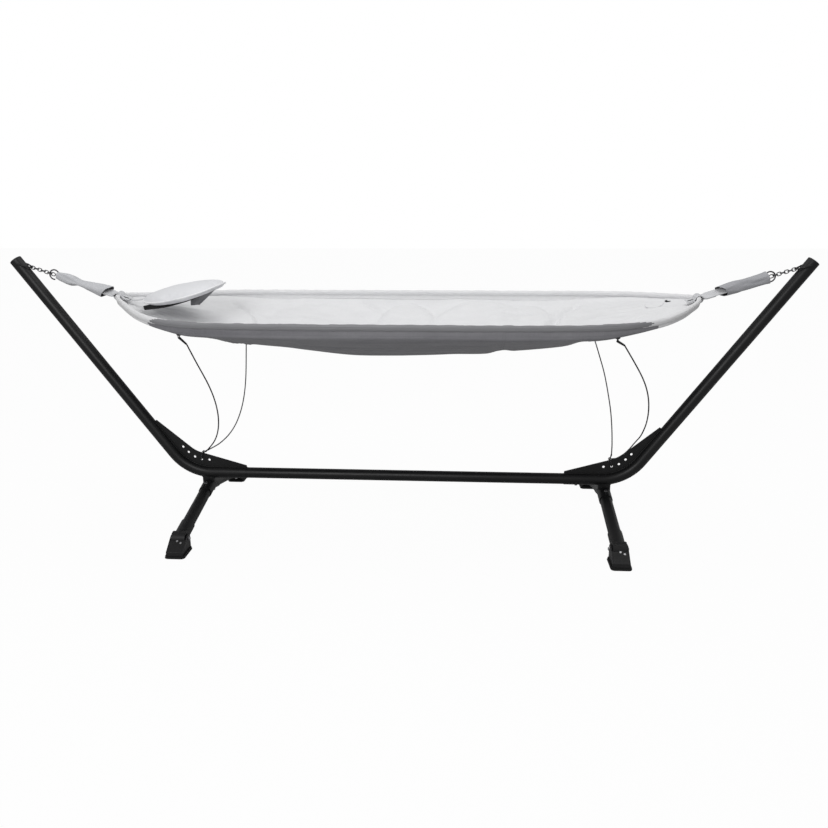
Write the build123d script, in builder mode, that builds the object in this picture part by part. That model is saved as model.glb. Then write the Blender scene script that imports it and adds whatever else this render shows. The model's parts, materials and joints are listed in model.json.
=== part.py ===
from build123d import *

import os
from math import atan2, ceil, cos, degrees, hypot, radians, sin, sqrt, tan

os.makedirs("parts", exist_ok=True)

# Hammock on a folding-foot steel stand. Millimetres, +X to the right along the stand,
# +Z up, -Y towards the viewer, origin on the floor under the middle of the stand.

SIDES = {"left": -1, "right": 1}
ROWS = {"front": -1, "rear": 1}

# Stand tubes
TUBE_D = 48.0
TUBE_WALL = 1.6
SLIDE_GAP = 0.1
WELD = 0.5
TUBE_Z = 181.0
ARM_TIP_X = 1550.0
ARM_TIP_Z = 1066.0
ARM_ANGLE = 54.1
BEND_R = 197.0
ARM_START_X = 662.0
SPLICE_LENGTH = 110.0
SPLICE_SCREW_X = 712.0
CAP_THICK = 4.0

# Gusset plates
PLATE_THICK = 4.0
PLATE_END = 8.0
PLATE_CORNER = (876.0, 274.3)
PLATE_CORNER_R = 110.0
PLATE_TOP_RUN = 155.0
GUSSET_HOLE_R = 5.0
GUSSET_HOLES = [(928.5, 291.2), (906.8, 268.3), (881.4, 248.2), (853.2, 237.9), (820.1, 235.5)]
TETHER_HOLE = GUSSET_HOLES[3]

# Legs, sockets and feet
LEG_X = 826.0
LEG_SLOPE = 11.5
LEG_TOP_Z = 129.0
LEG_START = 20.0
LEG_END = 358.0
SOCKET_D = 54.0
SOCKET_END = 72.0
SADDLE_LENGTH = 50.0
SADDLE_WIDTH = 34.0
LEG_BOLT = 46.0
BOSS_R = 9.0
BOLT_R = 4.0
HEAD_R = 6.5
HEAD_H = 4.5
NUT_WIDTH = 13.0
ANKLE_R = 27.5
ANKLE_START = 300.0
PIVOT_RUN = 393.0
FOOT_HALF = 32.0
FOOT_INNER_HALF = 28.1
FOOT_POCKET_R = 28.6
PAD_THICK = 4.0
PLATE_FOOT_THICK = 6.0
PAD_WIDTH = 78.0
PAD_LENGTH = 104.0
FOOT_FRONT_Y = 464.0

# Suspension: everything lies on a straight line that falls towards the bed
HANG_X = 1500.0
HANG_Z = 1040.0
HANG_ANGLE = 17.7
EYE_ROD_R = 3.0
EYE_PATH = [(-36.0, -25.5), (-8.0, -24.0), (20.7, 0.0), (-8.0, 24.0), (-36.0, 25.5)]
EYE_BOW_R = 8.0
LINK_WIRE = 3.6
LINK_LENGTH = 21.5
LINK_WIDTH = 16.0
LINK_COUNT = 7
HOOKED_LINK = 5
LINK_GAP = 0.3
TOUCH_GAP = 0.2
HOOK_WIRE_R = 2.75
HOOK_R = 19.0
HOOK_SMALL_R = 8.0
HOOK_TAIL = 72.0
RING_WIRE_R = 2.5
RING_LENGTH = 28.0
RING_HALF_WIDTH = 26.0
RING_CORNER_R = 3.4
STRAP_WIDTH = 45.0
STRAP_THICK = 2.5
STRAP_SEWN = 64.0
STRAP_END = 428.0
STRAP_SLIT = 414.0

# Bed
RIM_Z = 881.0
RIM_RISE = 44.0
RIM_CURVE = 6
RIM_RISE_X = 1140.0
RIM_TIP_X = 1136.5
RIM_TIP_Y = 26.0
HEM_R = 12.0
HEM_BORE_R = 9.8
HEM_GAP = 0.4
CLOTH = 11.0
ROD_R = 7.0
ROD_JOINT_X = 370.0
FERRULE_R = 9.0
FERRULE_BORE_R = 7.6
FERRULE_HALF = 30.0

# Along X: place, half width of the rim, depth of the upright side, lowest point of the cloth
BED_STATIONS = [
    (-1136, 24, 14, 896), (-1112, 72, 15, 888), (-1075, 124, 16, 876), (-1020, 202, 17, 858),
    (-950, 298, 16, 836), (-890, 362, 17, 818), (-820, 416, 22, 803), (-720, 456, 34, 790),
    (-600, 470, 36, 763), (-400, 476, 36, 740), (-200, 479, 35, 712), (0, 480, 34, 710),
    (200, 479, 34, 718), (330, 477, 35, 722), (430, 475, 36, 736), (600, 470, 36, 756),
    (720, 459, 36, 788), (820, 430, 25, 808), (890, 391, 19, 828), (950, 341, 17, 846),
    (1020, 248, 17, 866), (1075, 155, 16, 882), (1112, 90, 15, 890), (1136, 24, 14, 897),
]

# Pillow
PILLOW_X = -868.0
PILLOW_Z = 946.0
PILLOW_TILT = 10.8
PILLOW_HALF_LENGTH = 172.0
PILLOW_HALF_WIDTH = 190.0
PILLOW_HALF_THICK = 30.0

# Tethers: limp cords from tabs under the rim to the fourth hole of each gusset plate
CORD_D = 5.0
TAB_X = {"left": 741.0, "right": 760.0}
TAB_Y = 449.5
TAB_Z = 855.0
TAB_HOLE_Z = 848.5
HOOK_EYE_R = 7.0
CORD_GAP = 2.0
END_EYE_R = 4.4
END_EYE_Y = {
    ("left", "front"): -6.5,
    ("left", "rear"): 6.5,
    ("right", "front"): 10.5,
    ("right", "rear"): 5.5,
}
TETHER_RING_R = 17.0
TETHER_RING_WIRE_R = 2.0
CORD_ROUTES = {
    ("left", "front"): [
        (-724, -425, 809), (-712, -396, 753), (-701, -363, 699), (-692, -328, 647),
        (-688, -291, 593), (-690, -254, 541), (-698, -216, 490), (-712, -177, 441),
        (-732, -137, 395), (-758, -97, 352), (-790, -58, 314), (-824, -24, 280),
    ],
    ("left", "rear"): [
        (-754, 450, 821), (-754, 448, 756), (-756, 445, 690), (-759, 441, 625),
        (-762, 436, 560), (-764, 425, 495), (-767, 403, 433), (-772, 371, 377),
        (-779, 329, 333), (-787, 277, 300), (-797, 214, 279), (-807, 150, 270),
        (-817, 86, 268), (-829, 25, 272),
    ],
    ("right", "front"): [
        (789, -425, 818), (820, -395, 773), (850, -361, 729), (878, -325, 686),
        (902, -288, 642), (921, -249, 597), (935, -209, 551), (945, -167, 506),
        (951, -124, 460), (952, -80, 416), (950, -37, 376), (941, 2, 343),
        (923, 24, 303), (897, 27, 275), (869, 17, 265),
    ],
    ("right", "rear"): [
        (769, 450, 829), (793, 447, 773), (812, 440, 715), (832, 428, 658),
        (849, 410, 603), (865, 386, 549), (875, 356, 496), (881, 319, 448),
        (884, 275, 406), (882, 226, 370), (877, 173, 341), (870, 119, 315),
        (862, 66, 293), (853, 22, 280),
    ],
}

arm_angle = radians(ARM_ANGLE)
corner_x = ARM_TIP_X - (ARM_TIP_Z - TUBE_Z) / tan(arm_angle)
bend_run = BEND_R * tan(arm_angle / 2)
bore_r = TUBE_D / 2 - TUBE_WALL
inner_tube_r = bore_r - SLIDE_GAP
leg_slope = radians(LEG_SLOPE)
hang_angle = radians(HANG_ANGLE)
link_pitch = LINK_LENGTH - 2 * LINK_WIRE - LINK_GAP
eye_half = atan2(EYE_PATH[3][1], EYE_PATH[2][0] - EYE_PATH[3][0])
eye_apex = EYE_PATH[2][0] - EYE_BOW_R * (1 / sin(eye_half) - 1)
link_start = eye_apex - EYE_ROD_R - TOUCH_GAP - LINK_WIRE / 2
first_link = link_start + (LINK_LENGTH - LINK_WIRE) / 2
spare_link = first_link + (HOOKED_LINK + 1) * link_pitch
hook_wire = spare_link - LINK_LENGTH / 2 - TOUCH_GAP - HOOK_WIRE_R
hook_centre = hook_wire + HOOK_R
small_loop = hook_centre + HOOK_R + HOOK_SMALL_R
ring_near = small_loop + HOOK_SMALL_R - HOOK_WIRE_R - TOUCH_GAP - RING_WIRE_R
ring_far = ring_near + RING_LENGTH


def save(builder, label):
    """Labels a finished piece and writes its STEP file."""
    builder.part.label = label
    export_step(builder.part, f"parts/{label}.step")


def arm_point(s, back, inward=0.0):
    """A point on one arm: a distance back from the tip, and off the axis towards the bed."""
    x = ARM_TIP_X - back * cos(arm_angle) - inward * sin(arm_angle)
    z = ARM_TIP_Z - back * sin(arm_angle) + inward * cos(arm_angle)
    return (s * x, 0.0, z)


def arm_plane(s, back):
    """The plane across one arm, facing its tip."""
    return Plane(arm_point(s, back), z_dir=(s * cos(arm_angle), 0, sin(arm_angle)))


def leg_plane(s, r, run):
    """The plane across one leg, facing its foot, with its X along the stand."""
    origin = (s * LEG_X, r * run * cos(leg_slope), LEG_TOP_Z - run * sin(leg_slope))
    return Plane(origin, x_dir=(1, 0, 0), z_dir=(0, r * cos(leg_slope), -sin(leg_slope)))


def leg_side_plane(s, r, run):
    """The plane along one leg whose normal points up out of it."""
    origin = (s * LEG_X, r * run * cos(leg_slope), LEG_TOP_Z - run * sin(leg_slope))
    return Plane(origin, x_dir=(1, 0, 0), z_dir=(0, r * sin(leg_slope), cos(leg_slope)))


def hang_plane(s, run):
    """The plane across one suspension line, facing the bed, with its X along the world's Y."""
    origin = (s * (HANG_X - run * cos(hang_angle)), 0, HANG_Z - run * sin(hang_angle))
    return Plane(origin, x_dir=(0, 1, 0), z_dir=(-s * cos(hang_angle), 0, -sin(hang_angle)))


def hang_side_plane(s):
    """The upright plane that holds one suspension line: local X runs along it to the bed."""
    x_dir = (-s * cos(hang_angle), 0, -sin(hang_angle))
    return Plane((s * HANG_X, 0, HANG_Z), x_dir=x_dir, z_dir=(0, s, 0))


def hang_flat_plane(s):
    """The sloping plane that holds one suspension line and the world's Y axis."""
    x_dir = (-s * cos(hang_angle), 0, -sin(hang_angle))
    return Plane((s * HANG_X, 0, HANG_Z), x_dir=x_dir, z_dir=(-s * sin(hang_angle), 0, cos(hang_angle)))


def rim_height(x):
    """Height of the rim's centre line: it rises towards the two ends."""
    return RIM_Z + RIM_RISE * (x / RIM_RISE_X) ** RIM_CURVE


def on_large(angle):
    """A point of the hook's large loop, its angle in degrees up from the line to the bed."""
    return (hook_centre + HOOK_R * cos(radians(angle)), HOOK_R * sin(radians(angle)))


def on_small(angle):
    """A point of the hook's small loop, its angle in degrees up from the line to the bed."""
    return (small_loop + HOOK_SMALL_R * cos(radians(angle)), HOOK_SMALL_R * sin(radians(angle)))


def bend_radii(points):
    """One radius for each corner of a route, as large as its two runs allow."""
    corners = [Vector(*p) for p in points]
    radii = []
    for before, here, after in zip(corners, corners[1:], corners[2:]):
        half_turn = radians((here - before).get_angle(after - here)) / 2
        shorter = min((here - before).length, (after - here).length)
        radii.append(0.45 * shorter / tan(half_turn))
    return radii


def start_plane(points):
    """The plane across the start of a route."""
    first, second = Vector(*points[0]), Vector(*points[1])
    return Plane(first, z_dir=second - first)


# Tube body of each bent arm, reduced by the weld's depth: it trims what is welded to it
tube_cores = {}
for side, s in SIDES.items():
    with BuildPart() as core:
        with BuildLine(Plane.XZ):
            FilletPolyline(
                (s * (ARM_START_X - 40), TUBE_Z),
                (s * corner_x, TUBE_Z),
                (s * ARM_TIP_X, ARM_TIP_Z),
                radius=BEND_R,
            )
        with BuildSketch(Plane((s * (ARM_START_X - 40), 0, TUBE_Z), z_dir=(s, 0, 0))):
            Circle(TUBE_D / 2 - WELD)
        sweep()
    tube_cores[side] = core.part

# Centre tube: slides into both arms
with BuildPart() as centre_tube:
    with BuildSketch(Plane.YZ.offset(-ARM_START_X - SPLICE_LENGTH)):
        with Locations((0, TUBE_Z)):
            Circle(inner_tube_r)
            Circle(inner_tube_r - TUBE_WALL, mode=Mode.SUBTRACT)
    extrude(amount=2 * (ARM_START_X + SPLICE_LENGTH))
    for s in SIDES.values():
        with Locations((s * SPLICE_SCREW_X, 0, TUBE_Z - inner_tube_r)):
            Cylinder(2.6, 10, mode=Mode.SUBTRACT)
save(centre_tube, "centre_tube")

# Splice screws: one from below at each end of the centre tube
with BuildPart() as splice_screws:
    for s in SIDES.values():
        with BuildSketch(Plane.XY.offset(TUBE_Z - TUBE_D / 2 - 3.5)):
            with Locations((s * SPLICE_SCREW_X, 0)):
                Circle(5.5)
        extrude(amount=3.5)
        with BuildSketch(Plane.XY.offset(TUBE_Z - TUBE_D / 2)):
            with Locations((s * SPLICE_SCREW_X, 0)):
                Circle(2.5)
        extrude(amount=9)
save(splice_screws, "splice_screws")

# Arms: one bent tube each, with a hole for the splice screw
for side, s in SIDES.items():
    tube_end = arm_point(s, CAP_THICK)
    with BuildPart() as arm:
        with BuildLine(Plane.XZ):
            FilletPolyline(
                (s * ARM_START_X, TUBE_Z),
                (s * corner_x, TUBE_Z),
                (tube_end[0], tube_end[2]),
                radius=BEND_R,
            )
        with BuildSketch(Plane((s * ARM_START_X, 0, TUBE_Z), z_dir=(s, 0, 0))):
            Circle(TUBE_D / 2)
            Circle(bore_r, mode=Mode.SUBTRACT)
        sweep()
        with Locations((s * SPLICE_SCREW_X, 0, TUBE_Z - TUBE_D / 2)):
            Cylinder(2.6, 8, mode=Mode.SUBTRACT)
    save(arm, f"arm_{side}")

# Arm caps: a domed disc on a plug
with BuildPart() as arm_caps:
    for s in SIDES.values():
        with BuildSketch(arm_plane(s, CAP_THICK)):
            Circle(TUBE_D / 2)
        extrude(amount=CAP_THICK)
        with BuildSketch(arm_plane(s, CAP_THICK)):
            Circle(inner_tube_r)
        extrude(amount=-24)
    rims = arm_caps.edges().filter_by(GeomType.CIRCLE).sort_by(Axis.Z)[-1]
    fillet(rims, 2.5)
    left_rims = arm_caps.edges().filter_by(GeomType.CIRCLE).filter_by_position(Axis.X, -1600, 0)
    fillet(left_rims.sort_by(Axis.Z)[-1], 2.5)
save(arm_caps, "arm_caps")

# Gusset plates: welded into the inside of each bend
for side, s in SIDES.items():
    end_low = arm_point(s, 0)
    bend_top_x = corner_x + bend_run * cos(arm_angle)
    bend_top_z = TUBE_Z + bend_run * sin(arm_angle)
    top_back = hypot(ARM_TIP_X - bend_top_x, ARM_TIP_Z - bend_top_z) - PLATE_TOP_RUN
    tip_high = arm_point(s, top_back, TUBE_D / 2 + PLATE_END)
    tip_axis = arm_point(s, top_back)
    with BuildPart() as gusset:
        with BuildSketch(Plane.XZ):
            with BuildLine():
                Polyline(
                    (s * ARM_START_X, TUBE_Z),
                    (s * ARM_START_X, TUBE_Z + TUBE_D / 2 + PLATE_END),
                    (s * PLATE_CORNER[0], PLATE_CORNER[1]),
                    (tip_high[0], tip_high[2]),
                    (tip_axis[0], tip_axis[2]),
                    (s * bend_top_x, bend_top_z),
                )
                RadiusArc(
                    (s * bend_top_x, bend_top_z),
                    (s * (corner_x - bend_run), TUBE_Z),
                    s * BEND_R,
                )
                Line((s * (corner_x - bend_run), TUBE_Z), (s * ARM_START_X, TUBE_Z))
            make_face()
            fillet(vertices().sort_by_distance((s * PLATE_CORNER[0], PLATE_CORNER[1]))[0], PLATE_CORNER_R)
        extrude(amount=PLATE_THICK / 2, both=True)
        add(tube_cores[side], mode=Mode.SUBTRACT)
        with BuildSketch(Plane.XZ):
            with Locations([(s * x, z) for x, z in GUSSET_HOLES]):
                Circle(GUSSET_HOLE_R)
        extrude(amount=PLATE_THICK, both=True, mode=Mode.SUBTRACT)
    save(gusset, f"gusset_{side}")

# Leg brackets: two sleeves that meet in a shallow upturned V, welded under the bend
for side, s in SIDES.items():
    with BuildPart() as bracket:
        for r in ROWS.values():
            with BuildSketch(leg_plane(s, r, -7.0)):
                Circle(SOCKET_D / 2)
            extrude(amount=SOCKET_END + 7.0)
            for up in (1, -1):
                with BuildSketch(leg_side_plane(s, r, LEG_BOLT)):
                    Circle(BOSS_R)
                extrude(amount=up * (SOCKET_D / 2 + 2))
        with BuildSketch(Plane.XY.offset(LEG_TOP_Z + 8)):
            with Locations((s * LEG_X, 0)):
                RectangleRounded(SADDLE_LENGTH, SADDLE_WIDTH, 6)
        extrude(amount=TUBE_Z - TUBE_D / 4 - LEG_TOP_Z - 8)
        for r in ROWS.values():
            with BuildSketch(leg_plane(s, r, LEG_START - 0.5)):
                Circle(TUBE_D / 2 + SLIDE_GAP)
            extrude(amount=SOCKET_END, mode=Mode.SUBTRACT)
            with BuildSketch(leg_side_plane(s, r, LEG_BOLT)):
                Circle(BOLT_R + SLIDE_GAP)
            extrude(amount=SOCKET_D, both=True, mode=Mode.SUBTRACT)
        add(tube_cores[side], mode=Mode.SUBTRACT)
    save(bracket, f"leg_bracket_{side}")

# Legs, ankles and feet
for side, s in SIDES.items():
    for row, r in ROWS.items():
        name = f"{row}_{side}"
        with BuildPart() as leg:
            with BuildSketch(leg_plane(s, r, LEG_START)):
                Circle(TUBE_D / 2)
                Circle(bore_r, mode=Mode.SUBTRACT)
            extrude(amount=LEG_END - LEG_START)
            with BuildSketch(leg_side_plane(s, r, LEG_BOLT)):
                Circle(BOLT_R + SLIDE_GAP)
            extrude(amount=SOCKET_D, both=True, mode=Mode.SUBTRACT)
        save(leg, f"leg_{name}")

        pivot = leg_plane(s, r, PIVOT_RUN).origin
        across = Plane(pivot, x_dir=(0, r, 0), z_dir=(r, 0, 0))

        # The ankle is a socket over the leg's end with a round nose about the pivot
        with BuildPart() as ankle:
            with BuildSketch(leg_plane(s, r, ANKLE_START)):
                Circle(ANKLE_R)
            extrude(amount=PIVOT_RUN - ANKLE_START)
            with BuildSketch(across):
                Circle(ANKLE_R)
            extrude(amount=ANKLE_R - 1.5, both=True)
            with BuildSketch(leg_plane(s, r, ANKLE_START)):
                Circle(TUBE_D / 2 + SLIDE_GAP)
            extrude(amount=LEG_END - ANKLE_START + 0.5, mode=Mode.SUBTRACT)
            with BuildSketch(across):
                Circle(BOLT_R + SLIDE_GAP)
            extrude(amount=2 * ANKLE_R, both=True, mode=Mode.SUBTRACT)
        save(ankle, f"ankle_{name}")

        # The foot is a base plate with two cheeks round the ankle and a sloping nose
        base_z = PAD_THICK
        front = FOOT_FRONT_Y - abs(pivot.Y)
        back = front - PAD_LENGTH
        with BuildPart() as foot:
            with BuildSketch(across):
                with BuildLine():
                    Polyline(
                        (back + 4, base_z + 2 - pivot.Z),
                        (back + 4, 6),
                        (back + 14, 15),
                        (8, 15),
                        (26, 4),
                        (front - 8, base_z + 20 - pivot.Z),
                        (front - 5, base_z + 2 - pivot.Z),
                        close=True,
                    )
                make_face()
            extrude(amount=FOOT_HALF, both=True)
            fillet(foot.edges().filter_by(Axis.X).group_by(Axis.Z)[1:], 3)
            with BuildSketch(Plane.XY.offset(base_z)):
                with Locations((s * LEG_X, r * (FOOT_FRONT_Y - PAD_LENGTH / 2))):
                    RectangleRounded(PAD_WIDTH - 3, PAD_LENGTH - 3, 14)
            extrude(amount=PLATE_FOOT_THICK)
            with BuildSketch(across):
                Circle(FOOT_POCKET_R)
            extrude(amount=FOOT_INNER_HALF, both=True, mode=Mode.SUBTRACT)
            with BuildSketch(across):
                with BuildLine():
                    Polyline(
                        (0, FOOT_POCKET_R + 2),
                        (0, -FOOT_POCKET_R),
                        (back - 2, base_z + PLATE_FOOT_THICK - pivot.Z),
                        (back - 2, FOOT_POCKET_R + 2),
                        close=True,
                    )
                make_face()
            extrude(amount=FOOT_INNER_HALF, both=True, mode=Mode.SUBTRACT)
            with BuildSketch(across):
                Circle(BOLT_R + 0.05)
            extrude(amount=2 * ANKLE_R, both=True, mode=Mode.SUBTRACT)
        save(foot, f"foot_{name}")

        with BuildPart() as pad:
            with BuildSketch(Plane.XY):
                with Locations((s * LEG_X, r * (FOOT_FRONT_Y - PAD_LENGTH / 2))):
                    RectangleRounded(PAD_WIDTH, PAD_LENGTH, 15)
            extrude(amount=PAD_THICK)
            chamfer(pad.edges().group_by(Axis.Z)[0], 1)
        save(pad, f"foot_pad_{name}")

        # Pivot bolt with a button head on the outer cheek
        outer = Plane((s * (LEG_X + FOOT_HALF), pivot.Y, pivot.Z), z_dir=(s, 0, 0))
        with BuildPart() as pivot_bolt:
            with BuildSketch(outer):
                Circle(HEAD_R)
            extrude(amount=HEAD_H)
            fillet(pivot_bolt.edges().sort_by(Axis.X)[-1 if s > 0 else 0], 2)
            with BuildSketch(outer):
                Circle(BOLT_R)
            extrude(amount=-(2 * FOOT_HALF + 8))
        save(pivot_bolt, f"pivot_bolt_{name}")

        # Lock nut on the inner cheek and two screws in the nose
        inner = Plane((s * (LEG_X - FOOT_HALF), pivot.Y, pivot.Z), z_dir=(-s, 0, 0))
        slope = atan2(base_z + 20 - pivot.Z - 4, front - 34)
        nose_y = pivot.Y + r * 31.0
        nose_z = pivot.Z + 4 + (31.0 - 26.0) * tan(slope)
        with BuildPart() as fasteners:
            with BuildSketch(inner):
                RegularPolygon(NUT_WIDTH / 2, 6, major_radius=False)
                Circle(BOLT_R + 0.05, mode=Mode.SUBTRACT)
            extrude(amount=6.5)
            for offset, drop in ((0.0, 0.0), (15.0, 8.0)):
                seat_y = nose_y + r * drop * cos(slope)
                seat_z = nose_z + drop * sin(slope)
                normal = (0, -r * sin(slope), cos(slope))
                with BuildSketch(Plane((s * LEG_X + offset, seat_y, seat_z), z_dir=normal)):
                    Circle(4)
                extrude(amount=2.4)
        save(fasteners, f"foot_fasteners_{name}")

# Leg bolts and nuts: one pair across each leg socket
with BuildPart() as leg_bolts:
    for s in SIDES.values():
        for r in ROWS.values():
            with BuildSketch(leg_side_plane(s, r, LEG_BOLT).offset(SOCKET_D / 2 + 2)):
                Circle(HEAD_R)
            extrude(amount=HEAD_H)
            with BuildSketch(leg_side_plane(s, r, LEG_BOLT).offset(SOCKET_D / 2 + 2)):
                Circle(BOLT_R)
            extrude(amount=-(SOCKET_D + 12))
save(leg_bolts, "leg_bolts")

with BuildPart() as leg_nuts:
    for s in SIDES.values():
        for r in ROWS.values():
            with BuildSketch(leg_side_plane(s, r, LEG_BOLT).offset(-SOCKET_D / 2 - 2)):
                RegularPolygon(NUT_WIDTH / 2, 6, major_radius=False)
                Circle(BOLT_R + 0.05, mode=Mode.SUBTRACT)
            extrude(amount=-6.5)
save(leg_nuts, "leg_nuts")

# Arm eyes: a bent rod welded to both sides of the arm, its bow towards the bed
with BuildPart() as arm_eyes:
    for s in SIDES.values():
        flat = hang_flat_plane(s)
        with BuildLine(flat):
            FilletPolyline(*EYE_PATH, radius=[20, EYE_BOW_R, 20])
        start = flat.from_local_coords(Vector(*EYE_PATH[0]))
        heading = flat.from_local_coords(Vector(*EYE_PATH[1])) - start
        with BuildSketch(Plane(start, z_dir=heading)):
            Circle(EYE_ROD_R)
        sweep()
    for core in tube_cores.values():
        add(core, mode=Mode.SUBTRACT)
save(arm_eyes, "arm_eyes")

# Chains: short welded links, turned a quarter from one to the next
for side, s in SIDES.items():
    with BuildPart() as chain:
        for k in range(LINK_COUNT):
            plane = hang_flat_plane(s) if k % 2 else hang_side_plane(s)
            centre = first_link + k * link_pitch
            half = (LINK_LENGTH - LINK_WIDTH) / 2
            bow = (LINK_WIDTH - LINK_WIRE) / 2
            with BuildLine(plane):
                Line((centre - half, bow), (centre + half, bow))
                ThreePointArc((centre + half, bow), (centre + half + bow, 0), (centre + half, -bow))
                Line((centre + half, -bow), (centre - half, -bow))
                ThreePointArc((centre - half, -bow), (centre - half - bow, 0), (centre - half, bow))
            begin = plane.from_local_coords(Vector(centre - half, bow, 0))
            with BuildSketch(Plane(begin, z_dir=plane.x_dir)):
                Circle(LINK_WIRE / 2)
            sweep()
    save(chain, f"chain_{side}")

# S-hooks: a large open loop in the sixth link, a small closed loop round the strap ring
for side, s in SIDES.items():
    with BuildPart() as hook:
        plane = hang_side_plane(s)
        tail = radians(HOOK_TAIL)
        with BuildLine(plane):
            ThreePointArc(on_large(-HOOK_TAIL), on_large(-126), on_large(180))
            ThreePointArc(on_large(180), on_large(90), on_large(0))
            ThreePointArc(on_small(180), on_small(-90), on_small(0))
            ThreePointArc(on_small(0), on_small(60), on_small(115))
        begin = plane.from_local_coords(Vector(*on_large(-HOOK_TAIL)))
        tangent = Vector(-sin(tail), -cos(tail))
        heading = plane.from_local_coords(tangent) - plane.origin
        with BuildSketch(Plane(begin, z_dir=heading)):
            Circle(HOOK_WIRE_R)
        sweep()
    save(hook, f"s_hook_{side}")

# Strap rings: a welded rectangular ring between each hook and its strap
with BuildPart() as strap_rings:
    for s in SIDES.values():
        flat = hang_flat_plane(s)
        with BuildLine(flat):
            FilletPolyline(
                (ring_near, -RING_HALF_WIDTH),
                (ring_far, -RING_HALF_WIDTH),
                (ring_far, RING_HALF_WIDTH),
                (ring_near, RING_HALF_WIDTH),
                radius=RING_CORNER_R,
                close=True,
            )
        middle = flat.from_local_coords(Vector((ring_near + ring_far) / 2, -RING_HALF_WIDTH))
        with BuildSketch(Plane(middle, z_dir=flat.x_dir)):
            Circle(RING_WIRE_R)
        sweep()
save(strap_rings, "strap_rings")

# Straps: webbing looped over the ring, sewn double, then single, looped round the hem at
# the bed's tip, with a slit tail inside the bed
for side, s in SIDES.items():
    ring_inner_r = RING_WIRE_R + TOUCH_GAP
    hem_inner_r = HEM_R + 0.8
    hem_run = (HANG_X - RIM_TIP_X) / cos(hang_angle)
    hem_lift = (rim_height(RIM_TIP_X) - HANG_Z + hem_run * sin(hang_angle)) * cos(hang_angle)
    with BuildPart() as strap:
        with BuildSketch(hang_side_plane(s)):
            with Locations((ring_far, 0)):
                Circle(ring_inner_r + STRAP_THICK)
            with Locations((ring_far + STRAP_SEWN / 2, 0)):
                Rectangle(STRAP_SEWN, 2 * STRAP_THICK)
            with Locations(((ring_far + STRAP_END) / 2, STRAP_THICK / 2)):
                Rectangle(STRAP_END - ring_far, STRAP_THICK)
            with Locations((hem_run, hem_lift)):
                Circle(hem_inner_r + STRAP_THICK)
                Circle(hem_inner_r, mode=Mode.SUBTRACT)
            with Locations((ring_far, 0)):
                Circle(ring_inner_r, mode=Mode.SUBTRACT)
        extrude(amount=STRAP_WIDTH / 2, both=True)
        with BuildSketch(hang_flat_plane(s)):
            with Locations((STRAP_SLIT, 0)):
                SlotOverall(22, 3, rotation=90)
        extrude(amount=2 * STRAP_THICK, both=True, mode=Mode.SUBTRACT)
    save(strap, f"strap_{side}")

# Strap sleeves: soft cloth tubes round the straps, pinched where they are twisted.
# Each station is a place along the strap, half width, half height.
SLEEVES = {
    "left": [(129, 31, 15), (150, 32, 21), (180, 31, 23), (208, 28, 14), (226, 28, 13),
             (260, 29, 17), (300, 30, 22), (331, 31, 26)],
    "right": [(120, 32, 23), (136, 32, 21), (160, 32, 19), (185, 31, 20), (205, 30, 23),
              (235, 31, 25), (265, 30, 23), (293, 29, 21)],
}
SLEEVE_CLOTH = 2.0
for side, s in SIDES.items():
    with BuildPart() as sleeve:
        for run, half_width, half_height in SLEEVES[side]:
            with BuildSketch(hang_plane(s, run)):
                RectangleRounded(2 * half_width, 2 * half_height, half_height * 0.8)
        loft()
        for run, half_width, half_height in SLEEVES[side]:
            width = 2 * (half_width - SLEEVE_CLOTH)
            height = 2 * (half_height - SLEEVE_CLOTH)
            with BuildSketch(hang_plane(s, run)):
                RectangleRounded(width, height, height * 0.4)
        loft(mode=Mode.SUBTRACT)
    save(sleeve, f"strap_sleeve_{side}")

# Bed: a cloth trough with upright sides, hung from the hem of a stiff oval rim
with BuildPart() as bed:
    for x, w, side_depth, low in BED_STATIONS:
        top = rim_height(x) - HEM_R - HEM_GAP
        wall = rim_height(x) - side_depth
        outer_y = w + CLOTH / 2
        inner_y = w - CLOTH / 2
        with BuildSketch(Plane.YZ.offset(x)):
            with BuildLine():
                Line((outer_y, top), (outer_y, wall))
                ThreePointArc((outer_y, wall), (0, low), (-outer_y, wall))
                Line((-outer_y, wall), (-outer_y, top))
                Line((-outer_y, top), (-inner_y, top))
                Line((-inner_y, top), (-inner_y, wall))
                ThreePointArc((-inner_y, wall), (0, low + CLOTH), (inner_y, wall))
                Line((inner_y, wall), (inner_y, top))
                Line((inner_y, top), (outer_y, top))
            make_face()
    loft()
save(bed, "bed_cloth")

# Hem: a cloth tube round the whole rim, one half on each long side
rim_side = [(-RIM_TIP_X, RIM_TIP_Y)] + [(x, w) for x, w, _, _ in BED_STATIONS[1:-1]]
rim_side = rim_side + [(RIM_TIP_X, RIM_TIP_Y)]
with BuildPart() as rim_hem:
    for r in ROWS.values():
        route = [(-RIM_TIP_X, 0), *rim_side, (RIM_TIP_X, 0)]
        route = [(x, r * y, rim_height(x)) for x, y in route]
        with BuildLine():
            FilletPolyline(*route, radius=bend_radii(route))
        with BuildSketch(start_plane(route)):
            Circle(HEM_R)
            Circle(HEM_BORE_R, mode=Mode.SUBTRACT)
        sweep()
save(rim_hem, "rim_hem")

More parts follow.
